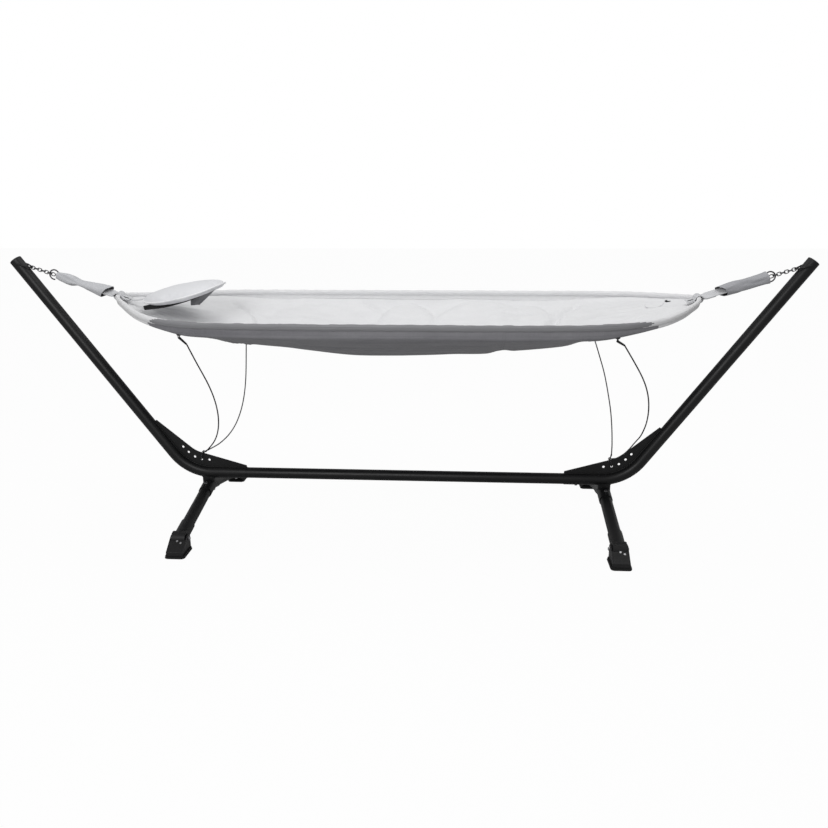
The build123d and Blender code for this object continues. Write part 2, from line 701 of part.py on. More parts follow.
# Rim rods: three sprung rods on each long side, inside the hem
joint_left = (-ROD_JOINT_X, 476.5)
joint_right = (ROD_JOINT_X, 476.2)
rod_routes = [
    [(-RIM_TIP_X, 1), *[p for p in rim_side if p[0] < -ROD_JOINT_X], joint_left],
    [joint_left, *[p for p in rim_side if abs(p[0]) < ROD_JOINT_X], joint_right],
    [joint_right, *[p for p in rim_side if p[0] > ROD_JOINT_X], (RIM_TIP_X, 1)],
]
with BuildPart() as rim_rods:
    for r in ROWS.values():
        for flat_route in rod_routes:
            route = [(x, r * y, rim_height(x)) for x, y in flat_route]
            with BuildLine():
                FilletPolyline(*route, radius=bend_radii(route))
            with BuildSketch(start_plane(route)):
                Circle(ROD_R)
            sweep()
save(rim_rods, "rim_rods")

# Rod ferrules: sleeves over the butted rod ends
with BuildPart() as rod_ferrules:
    for joint in (joint_left, joint_right):
        for r in ROWS.values():
            with BuildSketch(Plane.YZ.offset(joint[0] - FERRULE_HALF)):
                with Locations((r * joint[1], rim_height(joint[0]))):
                    Circle(FERRULE_R)
                    Circle(FERRULE_BORE_R, mode=Mode.SUBTRACT)
            extrude(amount=2 * FERRULE_HALF)
save(rod_ferrules, "rod_ferrules")

# Pillow: a crowned cushion, tied at its head end and lifted at the other
tilt = radians(PILLOW_TILT)
with BuildPart() as pillow:
    for share in (-0.985, -0.9, -0.7, -0.4, 0, 0.4, 0.7, 0.9, 0.985):
        fall = (1 - abs(share) ** 2.6) ** 0.5
        run = share * PILLOW_HALF_LENGTH
        half_width = PILLOW_HALF_WIDTH * fall
        half_thick = 2 + (PILLOW_HALF_THICK - 2) * fall
        origin = (PILLOW_X + run * cos(tilt), 0, PILLOW_Z + run * sin(tilt))
        with BuildSketch(Plane(origin, x_dir=(0, 1, 0), z_dir=(cos(tilt), 0, sin(tilt)))):
            with BuildLine():
                ThreePointArc((-half_width, -2), (0, -half_thick), (half_width, -2))
                Line((half_width, -2), (half_width, 2))
                ThreePointArc((half_width, 2), (0, half_thick), (-half_width, 2))
                Line((-half_width, 2), (-half_width, -2))
            make_face()
    loft()
save(pillow, "pillow")

# Pillow tie: webbing from the pillow's head end to the bed's left tip
tie_end = PILLOW_X - PILLOW_HALF_LENGTH * cos(tilt) + 2
tie_end_z = PILLOW_Z - PILLOW_HALF_LENGTH * sin(tilt)
with BuildPart() as pillow_tie:
    with BuildSketch(Plane.XZ):
        with BuildLine():
            Polyline((-1104, 905), (tie_end, tie_end_z - 1), (tie_end, tie_end_z + 1), (-1104, 908), close=True)
        make_face()
    extrude(amount=10, both=True)
save(pillow_tie, "pillow_tie")

# Tether tabs: short webbing tabs sewn into the lower edge of the sides, each with a hole
with BuildPart() as tether_tabs:
    for side, s in SIDES.items():
        for r in ROWS.values():
            with BuildSketch(Plane.XZ.offset(-r * TAB_Y)):
                with Locations((s * TAB_X[side], TAB_Z)):
                    RectangleRounded(18, 22, 5)
                with Locations((s * TAB_X[side], TAB_HOLE_Z)):
                    Circle(3.2, mode=Mode.SUBTRACT)
            extrude(amount=1.25, both=True)
save(tether_tabs, "tether_tabs")

# Tether hooks: an eye through the tab and a tapered socket that holds the cord's end
with BuildPart() as tether_hooks:
    for (side, row), route in CORD_ROUTES.items():
        s, r = SIDES[side], ROWS[row]
        eye = Vector(s * TAB_X[side], r * TAB_Y, TAB_HOLE_Z - HOOK_EYE_R)
        mouth = Vector(*route[0])
        side_on = Vector(0, mouth.Y - eye.Y, mouth.Z - eye.Z).normalized()
        neck = eye + side_on * HOOK_EYE_R
        with BuildSketch(Plane((eye.X, eye.Y, eye.Z + HOOK_EYE_R), z_dir=(0, 1, 0))):
            Circle(1.8)
        revolve(axis=Axis((eye.X, eye.Y, eye.Z), (1, 0, 0)))
        with Locations(Plane(neck, z_dir=mouth - neck)):
            Cone(4.5, 3.4, (mouth - neck).length - CORD_GAP, align=(Align.CENTER, Align.CENTER, Align.MIN))
save(tether_hooks, "tether_hooks")

# Tether rings: one round ring through the fourth hole of each gusset plate
edge_slope = atan2(PLATE_CORNER[1] - TUBE_Z - TUBE_D / 2 - PLATE_END, PLATE_CORNER[0] - ARM_START_X)
rise = (-sin(edge_slope), cos(edge_slope))
ring_mid = (TETHER_HOLE[0] + TETHER_RING_R * rise[0], TETHER_HOLE[1] + TETHER_RING_R * rise[1])
ring_top = (TETHER_HOLE[0] + 2 * TETHER_RING_R * rise[0], TETHER_HOLE[1] + 2 * TETHER_RING_R * rise[1])
with BuildPart() as tether_rings:
    for s in SIDES.values():
        with BuildSketch(Plane((s * ring_top[0], 0, ring_top[1]), z_dir=(0, 1, 0))):
            Circle(TETHER_RING_WIRE_R)
        revolve(axis=Axis((s * ring_mid[0], 0, ring_mid[1]), (cos(edge_slope), 0, s * sin(edge_slope))))
save(tether_rings, "tether_rings")

# Tether ends: a small eye on the ring and a crimped socket on the cord
with BuildPart() as tether_ends:
    for (side, row), route in CORD_ROUTES.items():
        eye_y = END_EYE_Y[side, row]
        ring_drop = TETHER_RING_R - sqrt(TETHER_RING_R**2 - eye_y**2)
        eye = Vector(SIDES[side] * ring_top[0], eye_y, ring_top[1] - ring_drop)
        mouth = Vector(*route[-1])
        side_on = Vector(mouth.X - eye.X, 0, mouth.Z - eye.Z).normalized()
        neck = eye + side_on * END_EYE_R
        with BuildSketch(Plane((eye.X, eye.Y, eye.Z + END_EYE_R), z_dir=(1, 0, 0))):
            Circle(1.2)
        revolve(axis=Axis((eye.X, eye.Y, eye.Z), (0, 1, 0)))
        with Locations(Plane(neck, z_dir=mouth - neck)):
            Cone(2.0, 3.4, (mouth - neck).length, align=(Align.CENTER, Align.CENTER, Align.MIN))
save(tether_ends, "tether_ends")

# Tether cords
for (side, row), route in CORD_ROUTES.items():
    radii = bend_radii(route)
    with BuildPart() as cord:
        with BuildLine() as path:
            FilletPolyline(*route, radius=radii)
        with BuildSketch(start_plane(route)):
            Circle(CORD_D / 2)
        sweep()
    length = path.wires()[0].length
    section = 3.14159265 * CORD_D**2 / 4
    print(f"tether_{row}_{side}: length {length:.0f}, radii {[round(v) for v in radii]}")
    print(f"  volume over section times length: {cord.part.volume / (section * length):.4f}")
    save(cord, f"tether_{row}_{side}")
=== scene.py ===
"""A hammock on a steel stand: cloth, webbing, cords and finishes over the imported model."""

from __future__ import annotations

import json
import logging
import math
from collections.abc import Callable, Sequence
from dataclasses import dataclass
from enum import Enum

import bmesh
import bpy
from mathutils import Matrix, Vector, noise

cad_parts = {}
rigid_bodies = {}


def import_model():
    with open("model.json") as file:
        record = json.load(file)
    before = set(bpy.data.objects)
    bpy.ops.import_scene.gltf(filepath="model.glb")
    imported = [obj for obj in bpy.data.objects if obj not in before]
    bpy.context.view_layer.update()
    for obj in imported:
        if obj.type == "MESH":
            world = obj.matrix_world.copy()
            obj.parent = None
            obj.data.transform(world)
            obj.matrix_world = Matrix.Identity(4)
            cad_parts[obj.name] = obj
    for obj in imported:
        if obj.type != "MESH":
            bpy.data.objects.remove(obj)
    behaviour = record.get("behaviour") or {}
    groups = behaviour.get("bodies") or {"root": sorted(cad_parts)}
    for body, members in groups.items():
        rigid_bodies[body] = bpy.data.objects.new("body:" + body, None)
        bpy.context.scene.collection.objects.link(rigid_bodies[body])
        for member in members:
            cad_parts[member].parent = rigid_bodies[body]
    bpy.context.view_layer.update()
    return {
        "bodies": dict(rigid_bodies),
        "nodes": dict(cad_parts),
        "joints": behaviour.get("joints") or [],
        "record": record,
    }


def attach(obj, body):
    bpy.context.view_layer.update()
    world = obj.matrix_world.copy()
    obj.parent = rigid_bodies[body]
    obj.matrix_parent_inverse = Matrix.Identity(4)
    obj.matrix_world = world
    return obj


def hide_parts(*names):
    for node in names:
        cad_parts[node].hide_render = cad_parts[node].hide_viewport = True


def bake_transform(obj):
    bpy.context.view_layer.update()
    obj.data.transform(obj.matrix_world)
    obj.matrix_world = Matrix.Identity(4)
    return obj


log = logging.getLogger("hammock")

UPRIGHT_SHARE = 0.14  # how much of the half width's count of faces the upright side takes
STITCH = 0.0042  # distance from one stitch to the next, in metres
STITCH_WIDTH = 0.0007  # half the height of a row of stitches, in metres
FACE_GAP = 0.004  # how far the inside may sink before the underside gives way, in metres

Colour = tuple[float, float, float]
Place = Callable[[float, float], Vector]
Lay = Callable[[float, float], tuple[float, float]]


class Side(Enum):
    """The two ends of the hammock."""

    LEFT = -1
    RIGHT = 1


class Row(Enum):
    """The side towards the viewer and the one behind."""

    FRONT = -1
    REAR = 1


class Slot(Enum):
    """Names of the record's finishes."""

    FRAME = "frame_coat"
    BED = "bed_fabric"
    SLEEVE = "sleeve_fabric"
    PILLOW = "pillow_fabric"
    WEBBING = "webbing"
    DARK_WEBBING = "dark_webbing"
    CORD = "cord_black"


class Coordinates(Enum):
    """Where a pattern is read from."""

    OBJECT = "Object"
    UV = "UV"


# ---------------------------------------------------------------- finishes


class Graph:
    """A material's nodes round one principled shader."""

    def __init__(self, name: str) -> None:
        """Starts a material.

        Args:
            name: The material's name.
        """
        self.material = bpy.data.materials.new(name)
        self.material.use_nodes = True
        self.tree = self.material.node_tree
        self.shader = self.tree.nodes["Principled BSDF"]

    def node(self, kind: str, **settings: object) -> bpy.types.Node:
        """Adds a node.

        Args:
            kind: The node's type.
            settings: Properties to set on it.

        Returns:
            The new node.
        """
        made = self.tree.nodes.new(kind)
        for key, value in settings.items():
            setattr(made, key, value)
        return made

    def feed(self, target: bpy.types.NodeSocket, value: object) -> None:
        """Links a socket to another, or sets its value."""
        if isinstance(value, bpy.types.NodeSocket):
            self.tree.links.new(value, target)
        else:
            target.default_value = value

    def spot(
        self,
        source: Coordinates,
        scale: tuple[float, float, float] = (1.0, 1.0, 1.0),
        turn: tuple[float, float, float] = (0.0, 0.0, 0.0),
    ) -> bpy.types.NodeSocket:
        """Gives mapped coordinates.

        Args:
            source: The coordinates to read.
            scale: Scale along each axis.
            turn: Turn about each axis, in radians.

        Returns:
            The vector socket.
        """
        start = self.node("ShaderNodeTexCoord").outputs[source.value]
        mapping = self.node("ShaderNodeMapping")
        self.feed(mapping.inputs["Vector"], start)
        mapping.inputs["Scale"].default_value = scale
        mapping.inputs["Rotation"].default_value = turn
        return mapping.outputs["Vector"]

    def cloud(
        self, spot: bpy.types.NodeSocket, scale: float, detail: float = 3.0
    ) -> bpy.types.NodeSocket:
        """Gives a noise value from 0 to 1.

        Args:
            spot: Coordinates.
            scale: Cells to a metre.
            detail: Octaves.

        Returns:
            The value socket.
        """
        made = self.node("ShaderNodeTexNoise")
        self.feed(made.inputs["Vector"], spot)
        made.inputs["Scale"].default_value = scale
        made.inputs["Detail"].default_value = detail
        return made.outputs["Fac"]

    def threads(
        self, spot: bpy.types.NodeSocket, pitch: float, axis: str
    ) -> bpy.types.NodeSocket:
        """Gives even ridges across one axis.

        Args:
            spot: Coordinates, in metres.
            pitch: Distance between ridges, in metres.
            axis: X, Y or Z.

        Returns:
            The value socket.
        """
        made = self.node("ShaderNodeTexWave", bands_direction=axis)
        self.feed(made.inputs["Vector"], spot)
        made.inputs["Scale"].default_value = math.tau / (20 * pitch)
        return made.outputs["Fac"]

    def sum(self, how: str, first: object, second: object = 0.0) -> bpy.types.NodeSocket:
        """Gives the result of one Math node.

        Args:
            how: The node's operation.
            first: A socket or number.
            second: A socket or number.

        Returns:
            The value socket.
        """
        made = self.node("ShaderNodeMath", operation=how)
        self.feed(made.inputs[0], first)
        self.feed(made.inputs[1], second)
        return made.outputs[0]

    def span(
        self, value: bpy.types.NodeSocket, low: float, high: float, start: float, end: float
    ) -> bpy.types.NodeSocket:
        """Carries a value from one range to another.

        Args:
            value: The value socket.
            low: Where the first range starts.
            high: Where the first range ends.
            start: Where the new range starts.
            end: Where the new range ends.

        Returns:
            The value socket.
        """
        made = self.node("ShaderNodeMapRange")
        for socket, number in zip(made.inputs, (value, low, high, start, end)):
            self.feed(socket, number)
        return made.outputs[0]

    def tint(self, share: object, first: object, second: object) -> bpy.types.NodeSocket:
        """Mixes two colours.

        Args:
            share: How much of the second.
            first: A colour or socket.
            second: A colour or socket.

        Returns:
            The colour socket.
        """
        made = self.node("ShaderNodeMix", data_type="RGBA")
        for index, value in ((0, share), (6, first), (7, second)):
            self.feed(made.inputs[index], (*value, 1.0) if isinstance(value, tuple) else value)
        return made.outputs[2]

    def relief(self, height: bpy.types.NodeSocket, depth: float, strength: float = 1.0) -> None:
        """Adds a bump, on top of any bump already there.

        Args:
            height: The height, from 0 to 1.
            depth: What a height of 1 stands for, in metres.
            strength: The node's strength.
        """
        made = self.node("ShaderNodeBump")
        made.inputs["Strength"].default_value = strength
        made.inputs["Distance"].default_value = depth
        self.feed(made.inputs["Height"], height)
        old = self.shader.inputs["Normal"].links
        if old:
            self.feed(made.inputs["Normal"], old[0].from_socket)
        self.feed(self.shader.inputs["Normal"], made.outputs["Normal"])

    def set(self, **numbers: object) -> None:
        """Sets plain numbers on the shader's own sockets."""
        for name, number in numbers.items():
            self.shader.inputs[name.replace("_", " ")].default_value = number


@dataclass(frozen=True)
class PowderCoat:
    """Satin powder coat or moulded skin, with a fine orange-peel grain."""

    name: str
    colour: Colour
    worn: Colour
    roughness: float = 0.4
    gloss: float = 0.5
    grain: float = 0.0016
    depth: float = 0.00006

    def material(self) -> bpy.types.Material:
        """Makes the material."""
        graph = Graph(self.name)
        spot = graph.spot(Coordinates.OBJECT)
        fine = graph.cloud(spot, 1 / self.grain, 2.0)
        broad = graph.cloud(spot, 7.0, 5.0)
        streaks = graph.cloud(graph.spot(Coordinates.OBJECT, (1, 1, 4)), 38.0, 6.0)
        scuffs = graph.span(streaks, 0.62, 0.78, 0, 1)
        colour = graph.tint(graph.span(broad, 0.3, 0.7, 0, 0.6), self.colour, self.worn)
        colour = graph.tint(graph.sum("MULTIPLY", scuffs, 0.5), colour, self.worn)
        graph.feed(graph.shader.inputs["Base Color"], colour)
        rough = graph.span(broad, 0.2, 0.8, self.roughness - 0.05, self.roughness + 0.07)
        rough = graph.sum("ADD", rough, graph.sum("MULTIPLY", fine, 0.06))
        graph.feed(graph.shader.inputs["Roughness"], rough)
        graph.set(Specular_IOR_Level=self.gloss)
        graph.relief(fine, self.depth, 0.6)
        return graph.material


@dataclass(frozen=True)
class Steel:
    """Plated or blackened steel with faint drawn lines and dulled patches."""

    name: str
    colour: Colour
    dulled: Colour
    roughness: float = 0.32
    metal: float = 1.0

    def material(self) -> bpy.types.Material:
        """Makes the material."""
        graph = Graph(self.name)
        patches = graph.cloud(graph.spot(Coordinates.OBJECT), 120.0, 5.0)
        lines = graph.cloud(graph.spot(Coordinates.OBJECT, (1, 8, 8)), 700.0, 2.0)
        colour = graph.tint(graph.span(patches, 0.4, 0.7, 0, 1), self.colour, self.dulled)
        graph.feed(graph.shader.inputs["Base Color"], colour)
        rough = graph.span(patches, 0.25, 0.8, self.roughness - 0.06, self.roughness + 0.16)
        graph.feed(graph.shader.inputs["Roughness"], rough)
        graph.set(Metallic=self.metal)
        graph.relief(lines, 0.00004, 0.5)
        return graph.material


@dataclass(frozen=True)
class WovenCloth:
    """Plain-weave cloth with slubs, soft creases and, where asked, rows of stitching."""

    name: str
    colour: Colour
    shade: Colour
    source: Coordinates = Coordinates.UV
    thread: float = 0.0013
    slub: float = 0.25
    streak: float = 0.0
    crease: float = 0.0006
    rows: tuple[float, ...] = ()
    seams: tuple[float, ...] = ()

    def stitching(self, graph: Graph) -> bpy.types.NodeSocket:
        """Gives 1 on a stitch and 0 elsewhere.

        Args:
            graph: The material in making.

        Returns:
            The value socket.
        """
        axes = graph.node("ShaderNodeSeparateXYZ")
        graph.feed(axes.inputs[0], graph.spot(self.source))
        along, down = axes.outputs[0], axes.outputs[1]
        total: object = 0.0
        for places, way, other in ((self.rows, down, along), (self.seams, along, down)):
            wave = graph.sum("SINE", graph.sum("MULTIPLY", other, math.tau / STITCH))
            dash = graph.sum("GREATER_THAN", wave, -0.45)
            for place in places:
                off = graph.sum("ABSOLUTE", graph.sum("SUBTRACT", way, place))
                line = graph.sum("LESS_THAN", off, STITCH_WIDTH)
                total = graph.sum("MAXIMUM", total, graph.sum("MULTIPLY", line, dash))
        return total

    def material(self) -> bpy.types.Material:
        """Makes the material."""
        graph = Graph(self.name)
        spot = graph.spot(self.source)
        slubs = graph.sum(
            "MAXIMUM",
            graph.cloud(graph.spot(self.source, (0.06, 1, 1)), 620.0, 2.0),
            graph.cloud(graph.spot(self.source, (1, 0.06, 1)), 620.0, 2.0),
        )
        wear = graph.cloud(spot, 11.0, 5.0)
        share = graph.span(slubs, 0.45, 0.75, 0, self.slub)
        share = graph.sum("ADD", share, graph.span(wear, 0.3, 0.75, 0, 0.22))
        if self.streak:
            lines = graph.cloud(graph.spot(self.source, (0.05, 1, 1)), 26.0, 4.0)
            share = graph.sum("ADD", share, graph.span(lines, 0.35, 0.68, 0, self.streak))
        colour = graph.tint(share, self.colour, self.shade)
        warp, weft = (graph.threads(spot, self.thread, axis) for axis in "XY")
        weave = graph.sum("MAXIMUM", warp, weft)
        graph.relief(weave, 0.00012, 0.35)
        folds = graph.cloud(graph.spot(self.source, (0.7, 1, 1)), 17.0, 5.0)
        graph.relief(folds, self.crease * 12, 0.5)
        if self.rows or self.seams:
            stitches = self.stitching(graph)
            colour = graph.tint(graph.sum("MULTIPLY", stitches, 0.55), colour, self.shade)
            graph.relief(stitches, 0.0004, 0.8)
        graph.feed(graph.shader.inputs["Base Color"], colour)
        graph.feed(graph.shader.inputs["Roughness"], graph.span(slubs, 0.3, 0.8, 0.84, 0.96))
        graph.set(Specular_IOR_Level=0.25, Sheen_Weight=0.12, Sheen_Roughness=0.5)
        return graph.material


@dataclass(frozen=True)
class Webbing:
    """Flat webbing: ribs across its length and a firm line along each edge."""

    name: str
    colour: Colour
    shade: Colour
    width: float
    rib: float = 0.0022

    def material(self) -> bpy.types.Material:
        """Makes the material."""
        graph = Graph(self.name)
        spot = graph.spot(Coordinates.UV)
        ribs = graph.threads(spot, self.rib, "X")
        ends = graph.threads(spot, self.width / 14, "Y")
        both = graph.sum("MULTIPLY", ribs, graph.span(ends, 0, 1, 0.55, 1))
        dirt = graph.cloud(spot, 60.0, 4.0)
        share = graph.sum("ADD", graph.span(both, 0, 1, 0.45, 0), graph.span(dirt, 0.4, 0.8, 0, 0.3))
        graph.feed(graph.shader.inputs["Base Color"], graph.tint(share, self.colour, self.shade))
        graph.feed(graph.shader.inputs["Roughness"], graph.span(both, 0, 1, 0.9, 0.74))
        graph.set(Specular_IOR_Level=0.3)
        graph.relief(both, 0.0004, 0.8)
        return graph.material


@dataclass(frozen=True)
class Braid:
    """Braided cover of a thin cord: two crossing spirals of strands."""

    name: str
    colour: Colour
    fleck: Colour
    strands: int = 8
    pitch: float = 0.011

    def material(self) -> bpy.types.Material:
        """Makes the material."""
        graph = Graph(self.name)
        axes = graph.node("ShaderNodeSeparateXYZ")
        graph.feed(axes.inputs[0], graph.spot(Coordinates.UV))
        turn = graph.sum("MULTIPLY", axes.outputs[1], math.tau * self.strands)
        run = graph.sum("MULTIPLY", axes.outputs[0], math.tau * self.strands / self.pitch)
        over = graph.sum("SINE", graph.sum("ADD", turn, run))
        under = graph.sum("SINE", graph.sum("SUBTRACT", turn, run))
        height = graph.span(graph.sum("MAXIMUM", over, under), -0.4, 1, 0, 1)
        flecks = graph.cloud(graph.spot(Coordinates.UV, (1, 0.02, 1)), 420.0, 2.0)
        share = graph.sum("MULTIPLY", graph.span(flecks, 0.5, 0.7, 0, 1), height)
        graph.feed(graph.shader.inputs["Base Color"], graph.tint(share, self.colour, self.fleck))
        graph.feed(graph.shader.inputs["Roughness"], graph.span(height, 0, 1, 0.85, 0.62))
        graph.relief(height, 0.0004, 0.7)
        return graph.material


class Finishes:
    """Every finish of the hammock, each made once."""

    def __init__(self) -> None:
        """Makes the materials."""
        light, light_shade = (0.70, 0.702, 0.71), (0.57, 0.573, 0.59)
        self.frame = PowderCoat(
            "charcoal_coat", (0.0050, 0.0051, 0.0055), (0.0095, 0.0097, 0.0103), 0.38, 0.27, 0.0016, 0.00003
        ).material()
        self.plastic = PowderCoat(
            "moulded_black", (0.0045, 0.0045, 0.005), (0.0085, 0.0085, 0.009), 0.40, 0.32, 0.0008, 0.0001
        ).material()
        self.rubber = PowderCoat(
            "tread_rubber", (0.012, 0.012, 0.012), (0.022, 0.021, 0.020), 0.8, 0.3, 0.0011, 0.0003
        ).material()
        self.plated = Steel("zinc_plate", (0.46, 0.46, 0.47), (0.30, 0.30, 0.31)).material()
        self.hanging = Steel("dark_chain_plate", (0.13, 0.13, 0.137), (0.06, 0.06, 0.064), 0.40).material()
        self.black_steel = Steel(
            "blackened_steel", (0.03, 0.03, 0.033), (0.02, 0.02, 0.02), 0.4, 0.6
        ).material()
        self.rods = Steel("spring_rod", (0.32, 0.31, 0.30), (0.2, 0.19, 0.18), 0.4).material()
        self.inside = WovenCloth(
            "bed_inside_cloth", light, light_shade, streak=0.1, rows=(0.006,), crease=0.0007
        ).material()
        # Painted shade: the underside cloth is the inside cloth's grey made darker for the shade under the
        # bed; its lengthwise streaks are random tone.
        self.outside = WovenCloth(
            "bed_underside_cloth",
            (0.225, 0.223, 0.236),
            (0.120, 0.119, 0.131),
            streak=0.55,
            rows=(0.006, 0.021),
            seams=(0.376, 0.384),
        ).material()
        # Painted shade: the hem's outer faces, and the gusset under the pillow, take this darker copy of the
        # light hem cloth.
        self.hem = WovenCloth(
            "hem_cloth", (0.235, 0.236, 0.245), (0.15, 0.15, 0.16), streak=0.45, rows=(0.024,), crease=0.0004
        ).material()
        self.hem_top = WovenCloth("hem_top_cloth", light, light_shade, crease=0.0004).material()
        self.pillow = WovenCloth(
            "pillow_cloth", (0.665, 0.67, 0.69), light_shade, Coordinates.OBJECT, slub=0.2, crease=0.0004
        ).material()
        self.piping = WovenCloth(
            "piping_cloth", (0.80, 0.803, 0.815), (0.68, 0.685, 0.70), crease=0.0001
        ).material()
        self.sleeve = WovenCloth(
            "sleeve_cloth", (0.50, 0.507, 0.525), (0.37, 0.375, 0.395), crease=0.0004
        ).material()
        # Painted shade: a darker copy of the sleeve cloth for the right sleeve; both sleeves are one cloth.
        self.grey_sleeve = WovenCloth(
            "grey_sleeve_cloth", (0.34, 0.343, 0.362), (0.25, 0.253, 0.27), crease=0.0004
        ).material()
        # Painted shade: near-black cloth on the sleeves' inner faces for the shade inside them.
        self.painted_shade_inner = WovenCloth(
            "sleeve_painted_shade_inner", (0.085, 0.085, 0.09), (0.055, 0.055, 0.06), crease=0.0004
        ).material()
        self.strap = Webbing("grey_webbing", (0.60, 0.605, 0.62), (0.40, 0.405, 0.42), 0.045).material()
        self.dark_strap = Webbing(
            "black_webbing", (0.02, 0.02, 0.021), (0.01, 0.01, 0.01), 0.018, 0.0016
        ).material()
        self.near_cord = Braid("black_braid", (0.014, 0.014, 0.015), (0.05, 0.05, 0.052)).material()
        # The rear cords take a lighter braid than the front ones.
        self.far_cord = Braid("rear_lighter_braid", (0.045, 0.045, 0.047), (0.12, 0.12, 0.12)).material()
        # Painted shadow: plain near-black for the shade in the slits, in the eyelet and under the pillow.
        self.shadow = PowderCoat("painted_shadow_black", (0.02, 0.02, 0.021), (0.03, 0.03, 0.03), 0.9, 0.1).material()


# ---------------------------------------------------------------- mesh tools


def smoothed(share: float) -> float:
    """Eases a share from 0 to 1."""
    share = min(1.0, max(0.0, share))
    return share * share * (3 - 2 * share)


def eased(table: Sequence[Sequence[float]], x: float) -> list[float]:
    """Reads a table on a smooth curve through its rows.

    Args:
        table: Rows of a place and the values there, in order.
        x: The place to read.

    Returns:
        The values at that place.
    """
    x = min(max(x, table[0][0]), table[-1][0])
    k = max(i for i in range(len(table) - 1) if table[i][0] <= x)
    step = table[k + 1][0] - table[k][0]
    t = (x - table[k][0]) / step
    values = []
    for column in range(1, len(table[0])):
        here, there = table[k][column], table[k + 1][column]
        slopes = []
        for at in (k, k + 1):
            low, high = max(at - 1, 0), min(at + 1, len(table) - 1)
            rise = table[high][column] - table[low][column]
            slopes.append(rise / (table[high][0] - table[low][0]) * step)
        values.append(
            here * (2 * t**3 - 3 * t**2 + 1)
            + slopes[0] * (t**3 - 2 * t**2 + t)
            + there * (3 * t**2 - 2 * t**3)
            + slopes[1] * (t**3 - t**2)
        )
    return values


def finished(name: str, bm: bmesh.types.BMesh, *materials: bpy.types.Material) -> bpy.types.Object:
    """Turns a bmesh into a smooth object at the origin.

    Args:
        name: The piece's name.
        bm: The mesh, which is freed.
        materials: Its materials, in slot order.

    Returns:
        The new object.
    """
    mesh = bpy.data.meshes.new(name)
    bm.to_mesh(mesh)
    bm.free()
    for material in materials:
        mesh.materials.append(material)
    mesh.shade_smooth()
    piece = bpy.data.objects.new(name, mesh)
    bpy.context.scene.collection.objects.link(piece)
    return piece


def shaped_grid(columns: int, rows: int, place: Place, lay: Lay) -> bmesh.types.BMesh:
    """Moves a flat grid's vertices onto a surface and lays a UV map on it.

    Args:
        columns: Faces along the grid.
        rows: Faces across it.
        place: The surface point for two shares from 0 to 1.
        lay: The UV point for the same shares.

    Returns:
        The shaped mesh.
    """
    bm = bmesh.new()
    bmesh.ops.create_grid(bm, x_segments=columns, y_segments=rows, size=0.5)
    uv = bm.loops.layers.uv.new("UVMap")
    for face in bm.faces:
        for loop in face.loops:
            loop[uv].uv = lay(loop.vert.co.x + 0.5, loop.vert.co.y + 0.5)
    for vertex in bm.verts:
        vertex.co = place(vertex.co.x + 0.5, vertex.co.y + 0.5)
    return bm


def closed_tube(bm: bmesh.types.BMesh, caps: bool) -> None:
    """Merges a rolled grid's seam, closes its ends and turns its faces outwards.

    Args:
        bm: The mesh.
        caps: Whether the ends are filled.
    """
    bmesh.ops.remove_doubles(bm, verts=bm.verts, dist=1e-6)
    if caps:
        bmesh.ops.holes_fill(bm, edges=[e for e in bm.edges if e.is_boundary], sides=0)
    bmesh.ops.recalc_face_normals(bm, faces=bm.faces)


def route_line(points: Sequence[Vector], steps: int = 12) -> list[Vector]:
    """Samples the smooth spline that a route's points control.

    Args:
        points: The route.
        steps: Samples for each point.

    Returns:
        Points along the spline.
    """
    data = bpy.data.curves.new("route", "CURVE")
    data.dimensions = "3D"
    spline = data.splines.new("NURBS")
    spline.points.add(len(points) - 1)
    for target, point in zip(spline.points, points):
        target.co = (*point, 1.0)
    spline.order_u = 3
    spline.use_endpoint_u = True
    spline.resolution_u = steps
    carrier = bpy.data.objects.new("route", data)
    mesh = bpy.data.meshes.new_from_object(carrier)
    line = [vertex.co.copy() for vertex in mesh.vertices]
    bpy.data.meshes.remove(mesh)
    bpy.data.objects.remove(carrier)
    bpy.data.curves.remove(data)
    return line


def even_line(points: Sequence[Vector], step: float, closed: bool = False, passes: int = 0) -> list[Vector]:
    """Spaces points evenly along a line and softens its corners.

    Args:
        points: The line.
        step: Distance between the new points, in metres.
        closed: Whether the line runs back to its start.
        passes: How often each point moves towards its neighbours.

    Returns:
        The new points.
    """
    line = list(points) + ([points[0]] if closed else [])
    total = sum((b - a).length for a, b in zip(line, line[1:]))
    count = max(2, round(total / step))
    made, k, gone = [], 0, 0.0
    for i in range(count if closed else count + 1):
        goal = total * i / count
        while k < len(line) - 2 and gone + (line[k + 1] - line[k]).length < goal:
            gone += (line[k + 1] - line[k]).length
            k += 1
        run = (line[k + 1] - line[k]).length or 1.0
        made.append(line[k].lerp(line[k + 1], min(1.0, (goal - gone) / run)))
    for _ in range(passes):
        last = len(made) - 1
        made = [
            p if not closed and i in (0, last) else (made[i - 1] + 2 * p + made[(i + 1) % len(made)]) / 4
            for i, p in enumerate(made)
        ]
    return made


